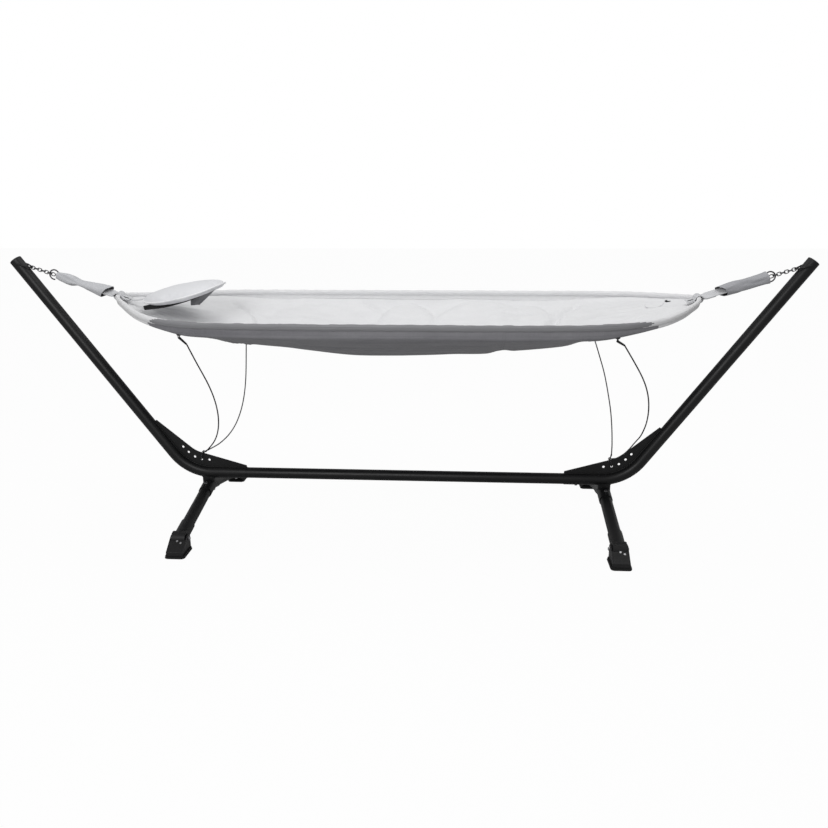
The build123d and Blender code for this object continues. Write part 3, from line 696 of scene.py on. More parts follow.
def tube(
    points: Sequence[Vector],
    radius: Callable[[float, float], float],
    sides: int,
    closed: bool = False,
) -> bmesh.types.BMesh:
    """Rolls a grid round a line.

    Args:
        points: The line.
        radius: The radius at a length along the line, in metres, and a share of the turn.
        sides: Faces round the line.
        closed: Whether the line runs back to its start.

    Returns:
        The tube, its UV map in metres along and turns across.
    """
    ring = list(points) + ([points[0]] if closed else [])
    count = len(ring)
    lengths = [0.0]
    for a, b in zip(ring, ring[1:]):
        lengths.append(lengths[-1] + (b - a).length)
    headings = []
    for i in range(count):
        before = ring[i - 1] if i else (ring[-2] if closed else ring[0])
        after = ring[i + 1] if i < count - 1 else (ring[1] if closed else ring[-1])
        headings.append((after - before).normalized())
    across = headings[0].orthogonal().normalized()
    if abs(headings[0].z) < 0.99:
        across = headings[0].cross(Vector((0, 0, 1))).normalized()
    frames = []
    for heading in headings:
        across = (across - heading * across.dot(heading)).normalized()
        frames.append((across.copy(), heading.cross(across)))
    if closed:
        first, last = frames[0], frames[-1]
        slip = math.atan2(first[0].dot(last[1]), first[0].dot(last[0]))
    else:
        slip = 0.0

    def place(along: float, turn: float) -> Vector:
        """Gives a point of the tube's wall."""
        i = min(count - 1, round(along * (count - 1)))
        angle = math.tau * turn + slip * i / (count - 1)
        size = radius(lengths[i], turn % 1.0)
        return ring[i] + (frames[i][0] * math.cos(angle) + frames[i][1] * math.sin(angle)) * size

    bm = shaped_grid(count - 1, sides, place, lambda u, v: (lengths[round(u * (count - 1))], v))
    closed_tube(bm, not closed)
    return bm


def ribbon(
    points: Sequence[Vector], tilt: Callable[[Vector], float], width: float, thick: float
) -> bmesh.types.BMesh:
    """Lays a flat strap along a line.

    Args:
        points: The middle of the strap.
        tilt: The turn of its width out of the level at a point, in radians.
        width: Its width, in metres.
        thick: Its thickness, in metres.

    Returns:
        The strap, closed.
    """
    lengths = [0.0]
    for a, b in zip(points, points[1:]):
        lengths.append(lengths[-1] + (b - a).length)
    last = len(points) - 1

    def place(along: float, across: float) -> Vector:
        """Gives a point of the strap's middle surface."""
        point = points[round(along * last)]
        turn, away = tilt(point), width * (across - 0.5)
        return point + Vector((0, away * math.cos(turn), away * math.sin(turn)))

    bm = shaped_grid(last, 8, place, lambda u, v: (lengths[round(u * last)], width * v))
    bm.normal_update()
    for vertex in bm.verts:
        vertex.co -= vertex.normal * (thick / 2)
    bmesh.ops.solidify(bm, geom=bm.faces[:], thickness=-thick)
    bmesh.ops.recalc_face_normals(bm, faces=bm.faces)
    sharp = [e for e in bm.edges if len(e.link_faces) == 2 and e.calc_face_angle(0.0) > 1.2]
    bmesh.ops.bevel(
        bm, geom=sharp, offset=thick * 0.28, segments=2, affect="EDGES", profile=0.5, material=-1
    )
    return bm


def inflate(piece: bpy.types.Object, voxel: float, pressure: float, cap: float) -> None:
    """Swells a closed mesh by a short cloth simulation and keeps the result.

    Args:
        piece: The object.
        voxel: Size of the remesh, in metres.
        pressure: Force inside the cloth.
        cap: How far a point may move, in metres.
    """
    remesh = piece.modifiers.new("even_faces", "REMESH")
    remesh.mode = "VOXEL"
    remesh.voxel_size = voxel
    keep_modifiers(piece)
    before = [vertex.co.copy() for vertex in piece.data.vertices]
    cloth = piece.modifiers.new("filling", "CLOTH")
    cloth.settings.quality = 4
    cloth.settings.use_pressure = True
    cloth.settings.uniform_pressure_force = pressure
    cloth.settings.effector_weights.gravity = 0.0
    cloth.point_cache.frame_end = 20
    for frame in range(1, 21):
        bpy.context.scene.frame_set(frame)
    keep_modifiers(piece)
    for vertex, start in zip(piece.data.vertices, before):
        move = vertex.co - start
        if move.length > cap:
            vertex.co = start + move * (cap / move.length)
    bpy.context.scene.frame_set(1)


def keep_modifiers(piece: bpy.types.Object) -> None:
    """Makes the piece's modifiers part of its mesh."""
    graph = bpy.context.evaluated_depsgraph_get()
    mesh = bpy.data.meshes.new_from_object(piece.evaluated_get(graph))
    piece.modifiers.clear()
    piece.data = mesh


# ---------------------------------------------------------------- shared lines


@dataclass(frozen=True)
class HangingLine:
    """The straight line from an arm's tip down to the bed's tip."""

    start_x: float = 1.5
    start_z: float = 1.04
    fall: float = math.radians(17.7)

    def point(self, side: Side, along: float, across: float = 0.0, lift: float = 0.0) -> Vector:
        """Gives a point by the line.

        Args:
            side: Which end.
            along: Distance towards the bed, in metres.
            across: Distance along Y.
            lift: Distance above the line.

        Returns:
            The point.
        """
        x = self.start_x - along * math.cos(self.fall) - lift * math.sin(self.fall)
        z = self.start_z - along * math.sin(self.fall) + lift * math.cos(self.fall)
        return Vector((side.value * x, across, z))


@dataclass(frozen=True)
class Rim:
    """The bed's stiff rim and the trough that hangs from it, in metres."""

    level: float = 0.881
    rise: float = 0.044
    rise_at: float = 1.14
    tip_x: float = 1.1365
    hem: float = 0.012
    # fmt: off
    stations: tuple[tuple[float, float, float, float], ...] = (
        (-1.136, 0.024, 0.014, 0.896), (-1.112, 0.072, 0.015, 0.888), (-1.075, 0.124, 0.016, 0.876),
        (-1.020, 0.202, 0.017, 0.858), (-0.950, 0.298, 0.016, 0.836), (-0.890, 0.362, 0.017, 0.818),
        (-0.820, 0.416, 0.022, 0.803), (-0.720, 0.456, 0.034, 0.795), (-0.660, 0.465, 0.035, 0.789),
        (-0.600, 0.470, 0.036, 0.767), (-0.400, 0.476, 0.036, 0.740), (-0.200, 0.479, 0.035, 0.712),
        (0.000, 0.480, 0.034, 0.710), (0.200, 0.479, 0.034, 0.718), (0.330, 0.477, 0.035, 0.722),
        (0.385, 0.476, 0.036, 0.739), (0.430, 0.475, 0.036, 0.735), (0.600, 0.470, 0.036, 0.756),
        (0.655, 0.466, 0.036, 0.784), (0.720, 0.459, 0.036, 0.788), (0.820, 0.430, 0.025, 0.808),
        (0.890, 0.391, 0.019, 0.828), (0.950, 0.341, 0.017, 0.846), (1.020, 0.248, 0.017, 0.866),
        (1.075, 0.155, 0.016, 0.882), (1.112, 0.090, 0.015, 0.890), (1.136, 0.024, 0.014, 0.897),
    )
    # fmt: on

    def height(self, x: float) -> float:
        """Gives the height of the rim's centre line."""
        return self.level + self.rise * (x / self.rise_at) ** 6

    def section(self, x: float) -> tuple[float, float, float]:
        """Gives the half width, the depth of the upright side and the lowest height."""
        half, depth, low = eased(self.stations, x)
        return half, depth, low

    def outline(self, step: float) -> list[Vector]:
        """Gives the rim's centre line.

        Args:
            step: Distance between points, in metres.

        Returns:
            Points round the rim, closed.
        """
        places = [self.tip_x * math.sin(math.pi / 2 * (k / 240 * 2 - 1)) for k in range(1, 240)]
        far = [Vector((x, self.section(x)[0], 0)) for x in places]
        tip = Vector((self.tip_x, 0, 0))
        line = [-tip, *far, tip, *[Vector((p.x, -p.y, 0)) for p in reversed(far)]]
        made = even_line(line, step, closed=True, passes=5)
        return [Vector((p.x, p.y, self.height(p.x))) for p in made]


@dataclass(frozen=True)
class Puff:
    """A padded swell of the bed's inside: its middle, its two half lengths and its height."""

    x: float
    y: float
    along: float
    across: float
    lift: float

    def at(self, x: float, y: float) -> float:
        """Gives the swell's height at a point."""
        away = math.hypot((x - self.x) / self.along, (y - self.y) / self.across)
        return self.lift * max(0.0, 1 - away * away) ** 0.45


@dataclass(frozen=True)
class Crease:
    """A furrow of the bed's inside along a few points."""

    points: tuple[tuple[float, float], ...]
    depth: float = 0.006
    width: float = 0.009

    def at(self, x: float, y: float) -> float:
        """Gives the furrow's depth at a point."""
        nearest = 1.0
        for (ax, ay), (bx, by) in zip(self.points, self.points[1:]):
            run = (bx - ax) ** 2 + (by - ay) ** 2
            t = min(1.0, max(0.0, ((x - ax) * (bx - ax) + (y - ay) * (by - ay)) / run))
            nearest = min(nearest, math.hypot(x - ax - t * (bx - ax), y - ay - t * (by - ay)))
        return self.depth * math.exp(-((nearest / self.width) ** 2))


# ---------------------------------------------------------------- the bed


@dataclass
class Bed:
    """The cloth trough, its hem, its patch and its eyelet."""

    finishes: Finishes
    rim: Rim
    columns: int = 264
    rows: int = 138
    thick: float = 0.009
    puffs: tuple[Puff, ...] = (
        Puff(-0.007, 0.290, 0.122, 0.156, 0.027),
        Puff(0.318, 0.270, 0.205, 0.187, 0.032),
        Puff(0.520, 0.262, 0.100, 0.150, 0.022),
        Puff(-0.380, 0.250, 0.215, 0.176, 0.011),
        Puff(0.120, -0.250, 0.240, 0.170, 0.015),
        Puff(-0.310, -0.230, 0.190, 0.180, 0.014),
        Puff(0.530, -0.220, 0.160, 0.160, 0.013),
    )
    creases: tuple[Crease, ...] = (
        Crease(((-0.786, 0.372), (-0.717, 0.312), (-0.653, 0.232), (-0.60, 0.12)), 0.012, 0.013),
        Crease(((0.722, 0.374), (0.673, 0.314), (0.615, 0.230), (0.57, 0.13)), 0.015, 0.014),
        Crease(((-0.214, 0.454), (-0.156, 0.420), (-0.118, 0.395)), 0.011, 0.010),
        Crease(((0.419, 0.330), (0.483, 0.326), (0.538, 0.312)), 0.010),
        Crease(((-0.700, 0.462), (-0.595, 0.459), (-0.503, 0.466)), 0.007),
        Crease(((0.459, 0.463), (0.578, 0.458), (0.709, 0.452)), 0.007),
        Crease(((-0.66, -0.36), (-0.58, -0.24), (-0.53, -0.10)), 0.009),
        Crease(((0.70, -0.35), (0.63, -0.25), (0.58, -0.08)), 0.009),
    )

    def station(self, share: float) -> tuple[float, float]:
        """Gives the place along the bed and how much of the width is open.

        Args:
            share: From 0 at the left tip to 1 at the right tip.

        Returns:
            The place along X and the open share of the half width.
        """
        signed = 2 * share - 1
        edge = 0.985
        if abs(signed) > edge:
            return math.copysign(self.rim.tip_x - 0.001, signed), max(0.04, (1 - abs(signed)) / (1 - edge))
        t = signed / edge
        return (self.rim.tip_x - 0.001) * (0.5 * t + 0.5 * math.sin(math.pi / 2 * t)), 1.0

    def trough(self, along: float, across: float) -> Vector:
        """Gives a point of the trough's middle surface.

        Args:
            along: Share from the left tip to the right tip.
            across: Share from the front rim to the rear rim.

        Returns:
            The point.
        """
        x, open_share = self.station(along)
        half, depth, low = self.rim.section(x)
        half *= open_share
        top = self.rim.height(x) - 0.006
        wall = self.rim.height(x) - depth
        floor = low + self.thick / 2
        side = 2 * across - 1
        reach = abs(side)
        fold = 1 - UPRIGHT_SHARE
        if reach > fold:
            z = wall + (top - wall) * (reach - fold) / (1 - fold)
            return Vector((x, math.copysign(half, side), z))
        sag = max(1e-4, wall - floor)
        bow = (half * half + sag * sag) / (2 * sag)
        spread = math.asin(min(1.0, half / bow))
        if sag >= half:
            spread = math.pi - spread
        angle = spread * side / fold
        return Vector((x, bow * math.sin(angle), floor + bow * (1 - math.cos(angle))))

    def lay(self, along: float, across: float) -> tuple[float, float]:
        """Gives the cloth's own place: along the bed, and down from the nearer rim."""
        x, _ = self.station(along)
        half, depth, _ = self.rim.section(x)
        reach = abs(2 * across - 1)
        fold, upright = 1 - UPRIGHT_SHARE, depth - 0.006
        if reach > fold:
            return x, upright * (1 - reach) / UPRIGHT_SHARE
        return x, upright + half * 1.1 * (fold - reach) / fold

    def inside_lift(self, x: float, y: float, reach: float) -> float:
        """Gives how far the inside stands proud of the plain trough.

        Args:
            x: Place along the bed.
            y: Place across it.
            reach: 0 at the middle, 1 at the rim.

        Returns:
            The height, in metres.
        """
        lift = max(puff.at(x, y) for puff in self.puffs)
        lift -= sum(crease.at(x, y) for crease in self.creases)
        lift += 0.0100 * noise.noise(Vector((x * 5.5, y * 7.0, 3.1)))
        lift += 0.0027 * noise.noise(Vector((x * 17.0, y * 24.0, 7.7)))
        gather = smoothed((abs(x) - 0.72) / 0.25) * smoothed((1.13 - abs(x)) / 0.12)
        lift += 0.0028 * gather * math.sin(46 * y / max(0.12, self.rim.section(x)[0]) + 4 * x)
        return lift * smoothed((1.0 - reach) / 0.09)

    def outside_lift(self, x: float, y: float, reach: float) -> float:
        """Gives how far the underside stands proud, with its long shallow drags."""
        lift = 0.0022 * noise.noise(Vector((x * 1.6, y * 26.0, 1.3)))
        lift += 0.0012 * noise.noise(Vector((x * 9.0, y * 14.0, 5.2)))
        lift += 0.0012 * math.exp(-(((x - 0.38) / 0.008) ** 2))
        return lift * smoothed((1.0 - reach) / 0.12)

    def cloth(self) -> bpy.types.Object:
        """Builds the trough as a closed two-faced cloth."""
        bm = shaped_grid(self.columns, self.rows, self.trough, self.lay)
        reach = bm.verts.layers.float.new("reach")
        bmesh.ops.recalc_face_normals(bm, faces=bm.faces)
        bm.normal_update()
        middle = min(bm.verts, key=lambda vertex: vertex.co.length_squared - vertex.co.z**2)
        if middle.normal.z < 0:
            bmesh.ops.reverse_faces(bm, faces=bm.faces)
            bm.normal_update()
        for vertex in bm.verts:
            half = max(0.02, self.rim.section(vertex.co.x)[0])
            drop = (self.rim.height(vertex.co.x) - vertex.co.z) / 0.05
            vertex[reach] = min(1.0, abs(vertex.co.y) / half) if drop > 1 else 1.0 - 0.06 * drop
        normals = {vertex: vertex.normal.copy() for vertex in bm.verts}
        copied = bmesh.ops.duplicate(bm, geom=bm.verts[:] + bm.edges[:] + bm.faces[:])
        twins = copied["vert_map"]
        for vertex, normal in normals.items():
            x, y = vertex.co.x, vertex.co.y
            depth = self.rim.section(x)[1]
            drop = self.rim.height(x) - vertex.co.z
            round_off = 0.30 * depth * math.exp(-(((drop - depth) / (0.5 * depth)) ** 2))
            inner = round_off + self.inside_lift(x, y, vertex[reach])
            outer = self.outside_lift(x, y, vertex[reach]) + max(0.0, -inner - FACE_GAP)
            twins[vertex].co += normal * (self.thick / 2 + inner)
            vertex.co -= normal * (self.thick / 2 + outer)
        under = {face for vertex in normals for face in vertex.link_faces}
        bmesh.ops.reverse_faces(bm, faces=list(under))
        # Painted shade: underside faces along the middle take the darker underside cloth and those near the
        # tips the light cloth, though it is one cloth all round.
        for face in under:
            middle = face.calc_center_median()
            fall = min(1.0, (self.rim.height(middle.x) - middle.z) / 0.09)
            dark = -0.885 + 0.070 * fall < middle.x < 0.915 - 0.050 * fall
            face.material_index = 1 if dark else 2
        bmesh.ops.bridge_loops(bm, edges=[edge for edge in bm.edges if edge.is_boundary])
        return finished("bed_trough", bm, self.finishes.inside, self.finishes.outside, self.finishes.hem_top)

    def hem(self) -> bpy.types.Object:
        """Builds the hem: a cloth tube round the rim, drawn in a little between its stitches."""
        line = self.rim.outline(0.011)

        def radius(along: float, turn: float) -> float:
            """Gives the hem's radius with its puckers."""
            spot = line[round(along / 0.011) % len(line)]
            slim = 0.0026 * smoothed((abs(spot.x) - 1.03) / 0.09)
            pucker = 0.0005 * math.sin(along * 95) + 0.0007 * noise.noise(Vector((along * 11, turn * 4, 0)))
            return self.rim.hem - 0.0004 - slim + pucker

        bm = tube(line, radius, 18, closed=True)
        # Painted shade: faces turned outwards take the darker hem cloth and those turned inwards the light
        # one; the dark band narrows to nothing towards the tips.
        for face in bm.faces:
            middle = face.calc_center_median()
            out = Vector((middle.x * 0.02, middle.y, 0))
            taper = max(smoothed((-0.78 - middle.x) / 0.11), smoothed((middle.x - 0.78) / 0.14))
            shaded = face.normal.dot(out.normalized()) > 0.08 + 0.95 * taper
            face.material_index = 1 if shaded else 0
        return finished("bed_hem", bm, self.finishes.hem_top, self.finishes.hem)

    def patch(self) -> bpy.types.Object:
        """Builds the oval cloth patch at the right end's inside."""

        def place(along: float, turn: float) -> Vector:
            """Gives a point of the patch, on the trough."""
            angle = math.tau * turn
            x = 1.008 + 0.036 * along * math.cos(angle)
            y = 0.150 + 0.058 * along * math.sin(angle)
            half, depth, low = self.rim.section(x)
            wall, floor = self.rim.height(x) - depth, low + self.thick
            sag = wall - floor
            bow = (half * half + sag * sag) / (2 * sag)
            z = floor + bow - math.sqrt(max(0.0, bow * bow - y * y))
            edge = 0.0030 * math.exp(-(((along - 0.88) / 0.06) ** 2))
            return Vector((x, y, z + 0.0035 + edge))

        bm = shaped_grid(10, 40, place, lambda u, v: (0.07 * u, 0.3 * v))
        bmesh.ops.remove_doubles(bm, verts=bm.verts, dist=1e-6)
        bmesh.ops.recalc_face_normals(bm, faces=bm.faces)
        if sum(face.normal.z for face in bm.faces) < 0:
            bmesh.ops.reverse_faces(bm, faces=bm.faces)
        bmesh.ops.solidify(bm, geom=bm.faces[:], thickness=0.003)
        return finished("end_patch", bm, self.finishes.hem_top)

    def eyelet(self) -> bpy.types.Object:
        """Builds the eyelet beside the patch: a ring in the painted shadow black for the shade in its hole.
        """
        turns = [math.tau * k / 40 for k in range(40)]
        points = [Vector((1.058 + 0.010 * math.cos(a), 0.132 + 0.012 * math.sin(a), 0.8945)) for a in turns]
        bm = tube(points, lambda along, turn: 0.0034, 10, closed=True)
        return finished("end_eyelet", bm, self.finishes.shadow)

    def build(self) -> list[bpy.types.Object]:
        """Builds every cloth piece of the bed, attaches it to the hammock body and hides the imported pieces
        it replaces.
        """
        cloth, hem, patch, eyelet = self.cloth(), self.hem(), self.patch(), self.eyelet()
        for piece in (cloth, hem, patch, eyelet):
            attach(piece, "hammock")
        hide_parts("bed_cloth")
        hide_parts("rim_hem")
        return [cloth, hem, patch, eyelet]


@dataclass
class Tabs:
    """Short webbing tabs under the hem, each with a punched eye."""

    finishes: Finishes
    left_x: float = 0.741
    right_x: float = 0.760
    y: float = 0.4495
    z: float = 0.855
    hole_z: float = 0.8485
    hole: float = 0.0032

    def build(self) -> list[bpy.types.Object]:
        """Builds the four tabs as one piece."""
        whole = bmesh.new()
        for side in Side:
            for row in Row:
                bm = bmesh.new()
                eye = bmesh.ops.create_circle(bm, segments=24, radius=self.hole)["verts"]
                rim = bmesh.ops.create_circle(bm, segments=24, radius=0.012)["verts"]
                for vertex in rim:
                    turn = math.atan2(vertex.co.y, vertex.co.x)
                    square = min(1.22, 1 / max(abs(math.cos(turn)), abs(math.sin(turn))))
                    vertex.co.x *= 0.75 * square
                    vertex.co.y = vertex.co.y * 0.92 * square + self.z - self.hole_z
                bmesh.ops.bridge_loops(bm, edges=bm.edges[:])
                bmesh.ops.solidify(bm, geom=bm.faces[:], thickness=0.0025)
                bmesh.ops.recalc_face_normals(bm, faces=bm.faces)
                upright = Matrix.Rotation(math.pi / 2, 4, "X")
                x = -self.left_x if side is Side.LEFT else self.right_x
                spot = Vector((x, row.value * self.y + 0.00125, self.hole_z))
                bmesh.ops.transform(bm, matrix=Matrix.Translation(spot) @ upright, verts=bm.verts)
                part = bpy.data.meshes.new("tab")
                bm.to_mesh(part)
                bm.free()
                whole.from_mesh(part)
                bpy.data.meshes.remove(part)
        uv = whole.loops.layers.uv.new("UVMap")
        for face in whole.faces:
            for loop in face.loops:
                loop[uv].uv = (loop.vert.co.z, loop.vert.co.x)
        piece = finished("cord_tabs", whole, self.finishes.dark_strap)
        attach(piece, "hammock")
        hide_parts("tether_tabs")
        return [piece]


@dataclass
class Pillow:
    """The head pillow, its piping, the dark sheet of painted shadow under it, its gusset and its tie."""

    finishes: Finishes
    x: float = -0.868
    z: float = 0.944
    tilt: float = math.radians(10.8)
    half_length: float = 0.170
    half_width: float = 0.188
    half_thick: float = 0.025

    def point(self, along: float, across: float, up: float) -> Vector:
        """Gives a point from the pillow's own axes."""
        x = self.x + along * math.cos(self.tilt) - up * math.sin(self.tilt)
        z = self.z + along * math.sin(self.tilt) + up * math.cos(self.tilt)
        return Vector((x, across, z))

    def edge(self, turn: float) -> tuple[float, float]:
        """Gives the plan outline at a share of the turn: a square with round corners and slack sides."""
        angle = math.tau * turn
        c, s = math.cos(angle), math.sin(angle)
        reach = (abs(c) ** 2.25 + abs(s) ** 2.25) ** (-1 / 2.25)
        return self.half_length * reach * c, self.half_width * reach * s

    def droop(self, across: float) -> float:
        """Gives how far the pillow's sides hang below its middle."""
        return 0.019 * (across / self.half_width) ** 2

    def cushion(self) -> bpy.types.Object:
        """Builds the stuffed cover."""
        bm = bmesh.new()
        bmesh.ops.create_uvsphere(bm, u_segments=64, v_segments=32, radius=1.0)
        for vertex in bm.verts:
            flat = math.hypot(vertex.co.x, vertex.co.y)
            turn = math.atan2(vertex.co.y, vertex.co.x) / math.tau
            along, across = self.edge(turn)
            share = min(1.0, flat)
            round_off = 0.48 + 0.34 * math.cos(math.tau * turn) ** 2
            height = math.copysign((1 - share**2) ** round_off, vertex.co.z) * (self.half_thick - 0.001)
            vertex.co = Vector((along * 0.965 * share, across * 0.965 * share, height))
        piece = finished("head_pillow", bm, self.finishes.pillow)
        inflate(piece, 0.0050, 4.0, 0.006)
        for vertex in piece.data.vertices:
            along, across, up = vertex.co
            dent = 0.0016 * noise.noise(Vector((along * 14, across * 9, 2.0)))
            dent += 0.0010 * math.sin(across * 60 + along * 12) * smoothed((abs(along) - 0.10) / 0.06)
            vertex.co = self.point(along, across, up + dent - self.droop(across))
        fine = piece.modifiers.new("soft", "SUBSURF")
        fine.levels = fine.render_levels = 1
        keep_modifiers(piece)
        piece.data.materials.clear()
        piece.data.materials.append(self.finishes.pillow)
        piece.data.shade_smooth()
        return piece

    def rim(self, piece: bpy.types.Object) -> list[Vector]:
        """Gives the stuffed cover's widest line, where its piping is sewn.

        Args:
            piece: The stuffed cover.

        Returns:
            Points round the pillow, closed.
        """
        count = 90
        widest = [(0.0, 0.0, 0.0)] * count
        for vertex in piece.data.vertices:
            away = vertex.co - Vector((self.x, 0, self.z))
            along = away.x * math.cos(self.tilt) + away.z * math.sin(self.tilt)
            up = away.z * math.cos(self.tilt) - away.x * math.sin(self.tilt)
            size = math.hypot(along, away.y)
            k = int((math.atan2(away.y, along) / math.tau % 1) * count) % count
            if size > widest[k][0] and abs(up) < 0.012:
                widest[k] = (size, along, away.y)
        line = [self.point(along, across, -self.droop(across)) for size, along, across in widest if size > 0]
        return even_line(line, 0.007, closed=True, passes=4)

    def painted_shadow_sheet(self) -> bpy.types.Object:
        """Builds a dark cloth sheet along the pillow's underside: painted shadow for the shade under the
        pillow.
        """

        def place(along: float, down: float) -> Vector:
            """Gives a point of the flap, in gentle waves."""
            depth = 0.003 + 0.017 * math.sin(math.pi * min(1.0, 0.16 + 0.84 * along)) ** 0.6
            top = self.point(-0.128 + 0.225 * along, -0.128 + 0.02 * along, -0.016 - 0.003 * (1 - along))
            wave = 0.006 * math.sin(7.0 * along + 1.4 * down) * down
            return top + Vector((0.003 * down, wave - 0.004 * down, -depth * down))

        bm = shaped_grid(40, 8, place, lambda u, v: (0.26 * u, 0.03 * v))
        bmesh.ops.solidify(bm, geom=bm.faces[:], thickness=0.0025)
        bmesh.ops.recalc_face_normals(bm, faces=bm.faces)
        return finished("pillow_painted_shadow_sheet", bm, self.finishes.shadow)

    def gusset(self) -> bpy.types.Object:
        """Builds the three-cornered gusset that hangs from the pillow's raised end."""

        def place(along: float, down: float) -> Vector:
            """Gives a point of the gusset."""
            top = self.point(0.028 + 0.108 * along, -0.030, -0.012)
            foot = Vector((-0.838 + 0.036 * along, -0.03, 0.893 + 0.002 * along))
            spot = top.lerp(foot, down)
            spot.y += 0.004 * math.sin(6 * along + 3 * down)
            return spot

        bm = shaped_grid(16, 10, place, lambda u, v: (0.1 * u, 0.04 * v))
        bmesh.ops.solidify(bm, geom=bm.faces[:], thickness=0.0022)
        bmesh.ops.recalc_face_normals(bm, faces=bm.faces)
        # Painted shade: the gusset takes the hem's darker cloth for the shade under the pillow.
        return finished("pillow_gusset", bm, self.finishes.hem)

    def tie(self) -> bpy.types.Object:
        """Builds the webbing from the bed's tip to the pillow."""
        start, end = Vector((-1.106, 0, 0.9065)), self.point(-self.half_length + 0.006, 0, 0.0)
        points = []
        for k in range(15):
            sag = 0.0035 * math.sin(math.pi * k / 14)
            points.append(start.lerp(end, k / 14) + Vector((0, 0, -sag)))
        bm = ribbon(points, lambda point: 0.12, 0.020, 0.0022)
        return finished("pillow_strap", bm, self.finishes.strap)

    def build(self) -> list[bpy.types.Object]:
        cushion = self.cushion()
        line = self.rim(cushion)
        bm = tube(line, lambda along, turn: 0.0032 + 0.0002 * math.sin(along * 300), 10, closed=True)
        piping = finished("pillow_piping", bm, self.finishes.piping)
        painted_shadow_sheet, gusset, tie = self.painted_shadow_sheet(), self.gusset(), self.tie()
        for piece in (cushion, piping, painted_shadow_sheet, gusset, tie):
            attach(piece, "hammock")
        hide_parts("pillow")
        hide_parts("pillow_tie")
        return [cushion, piping, painted_shadow_sheet, gusset, tie]


# ---------------------------------------------------------------- the suspension


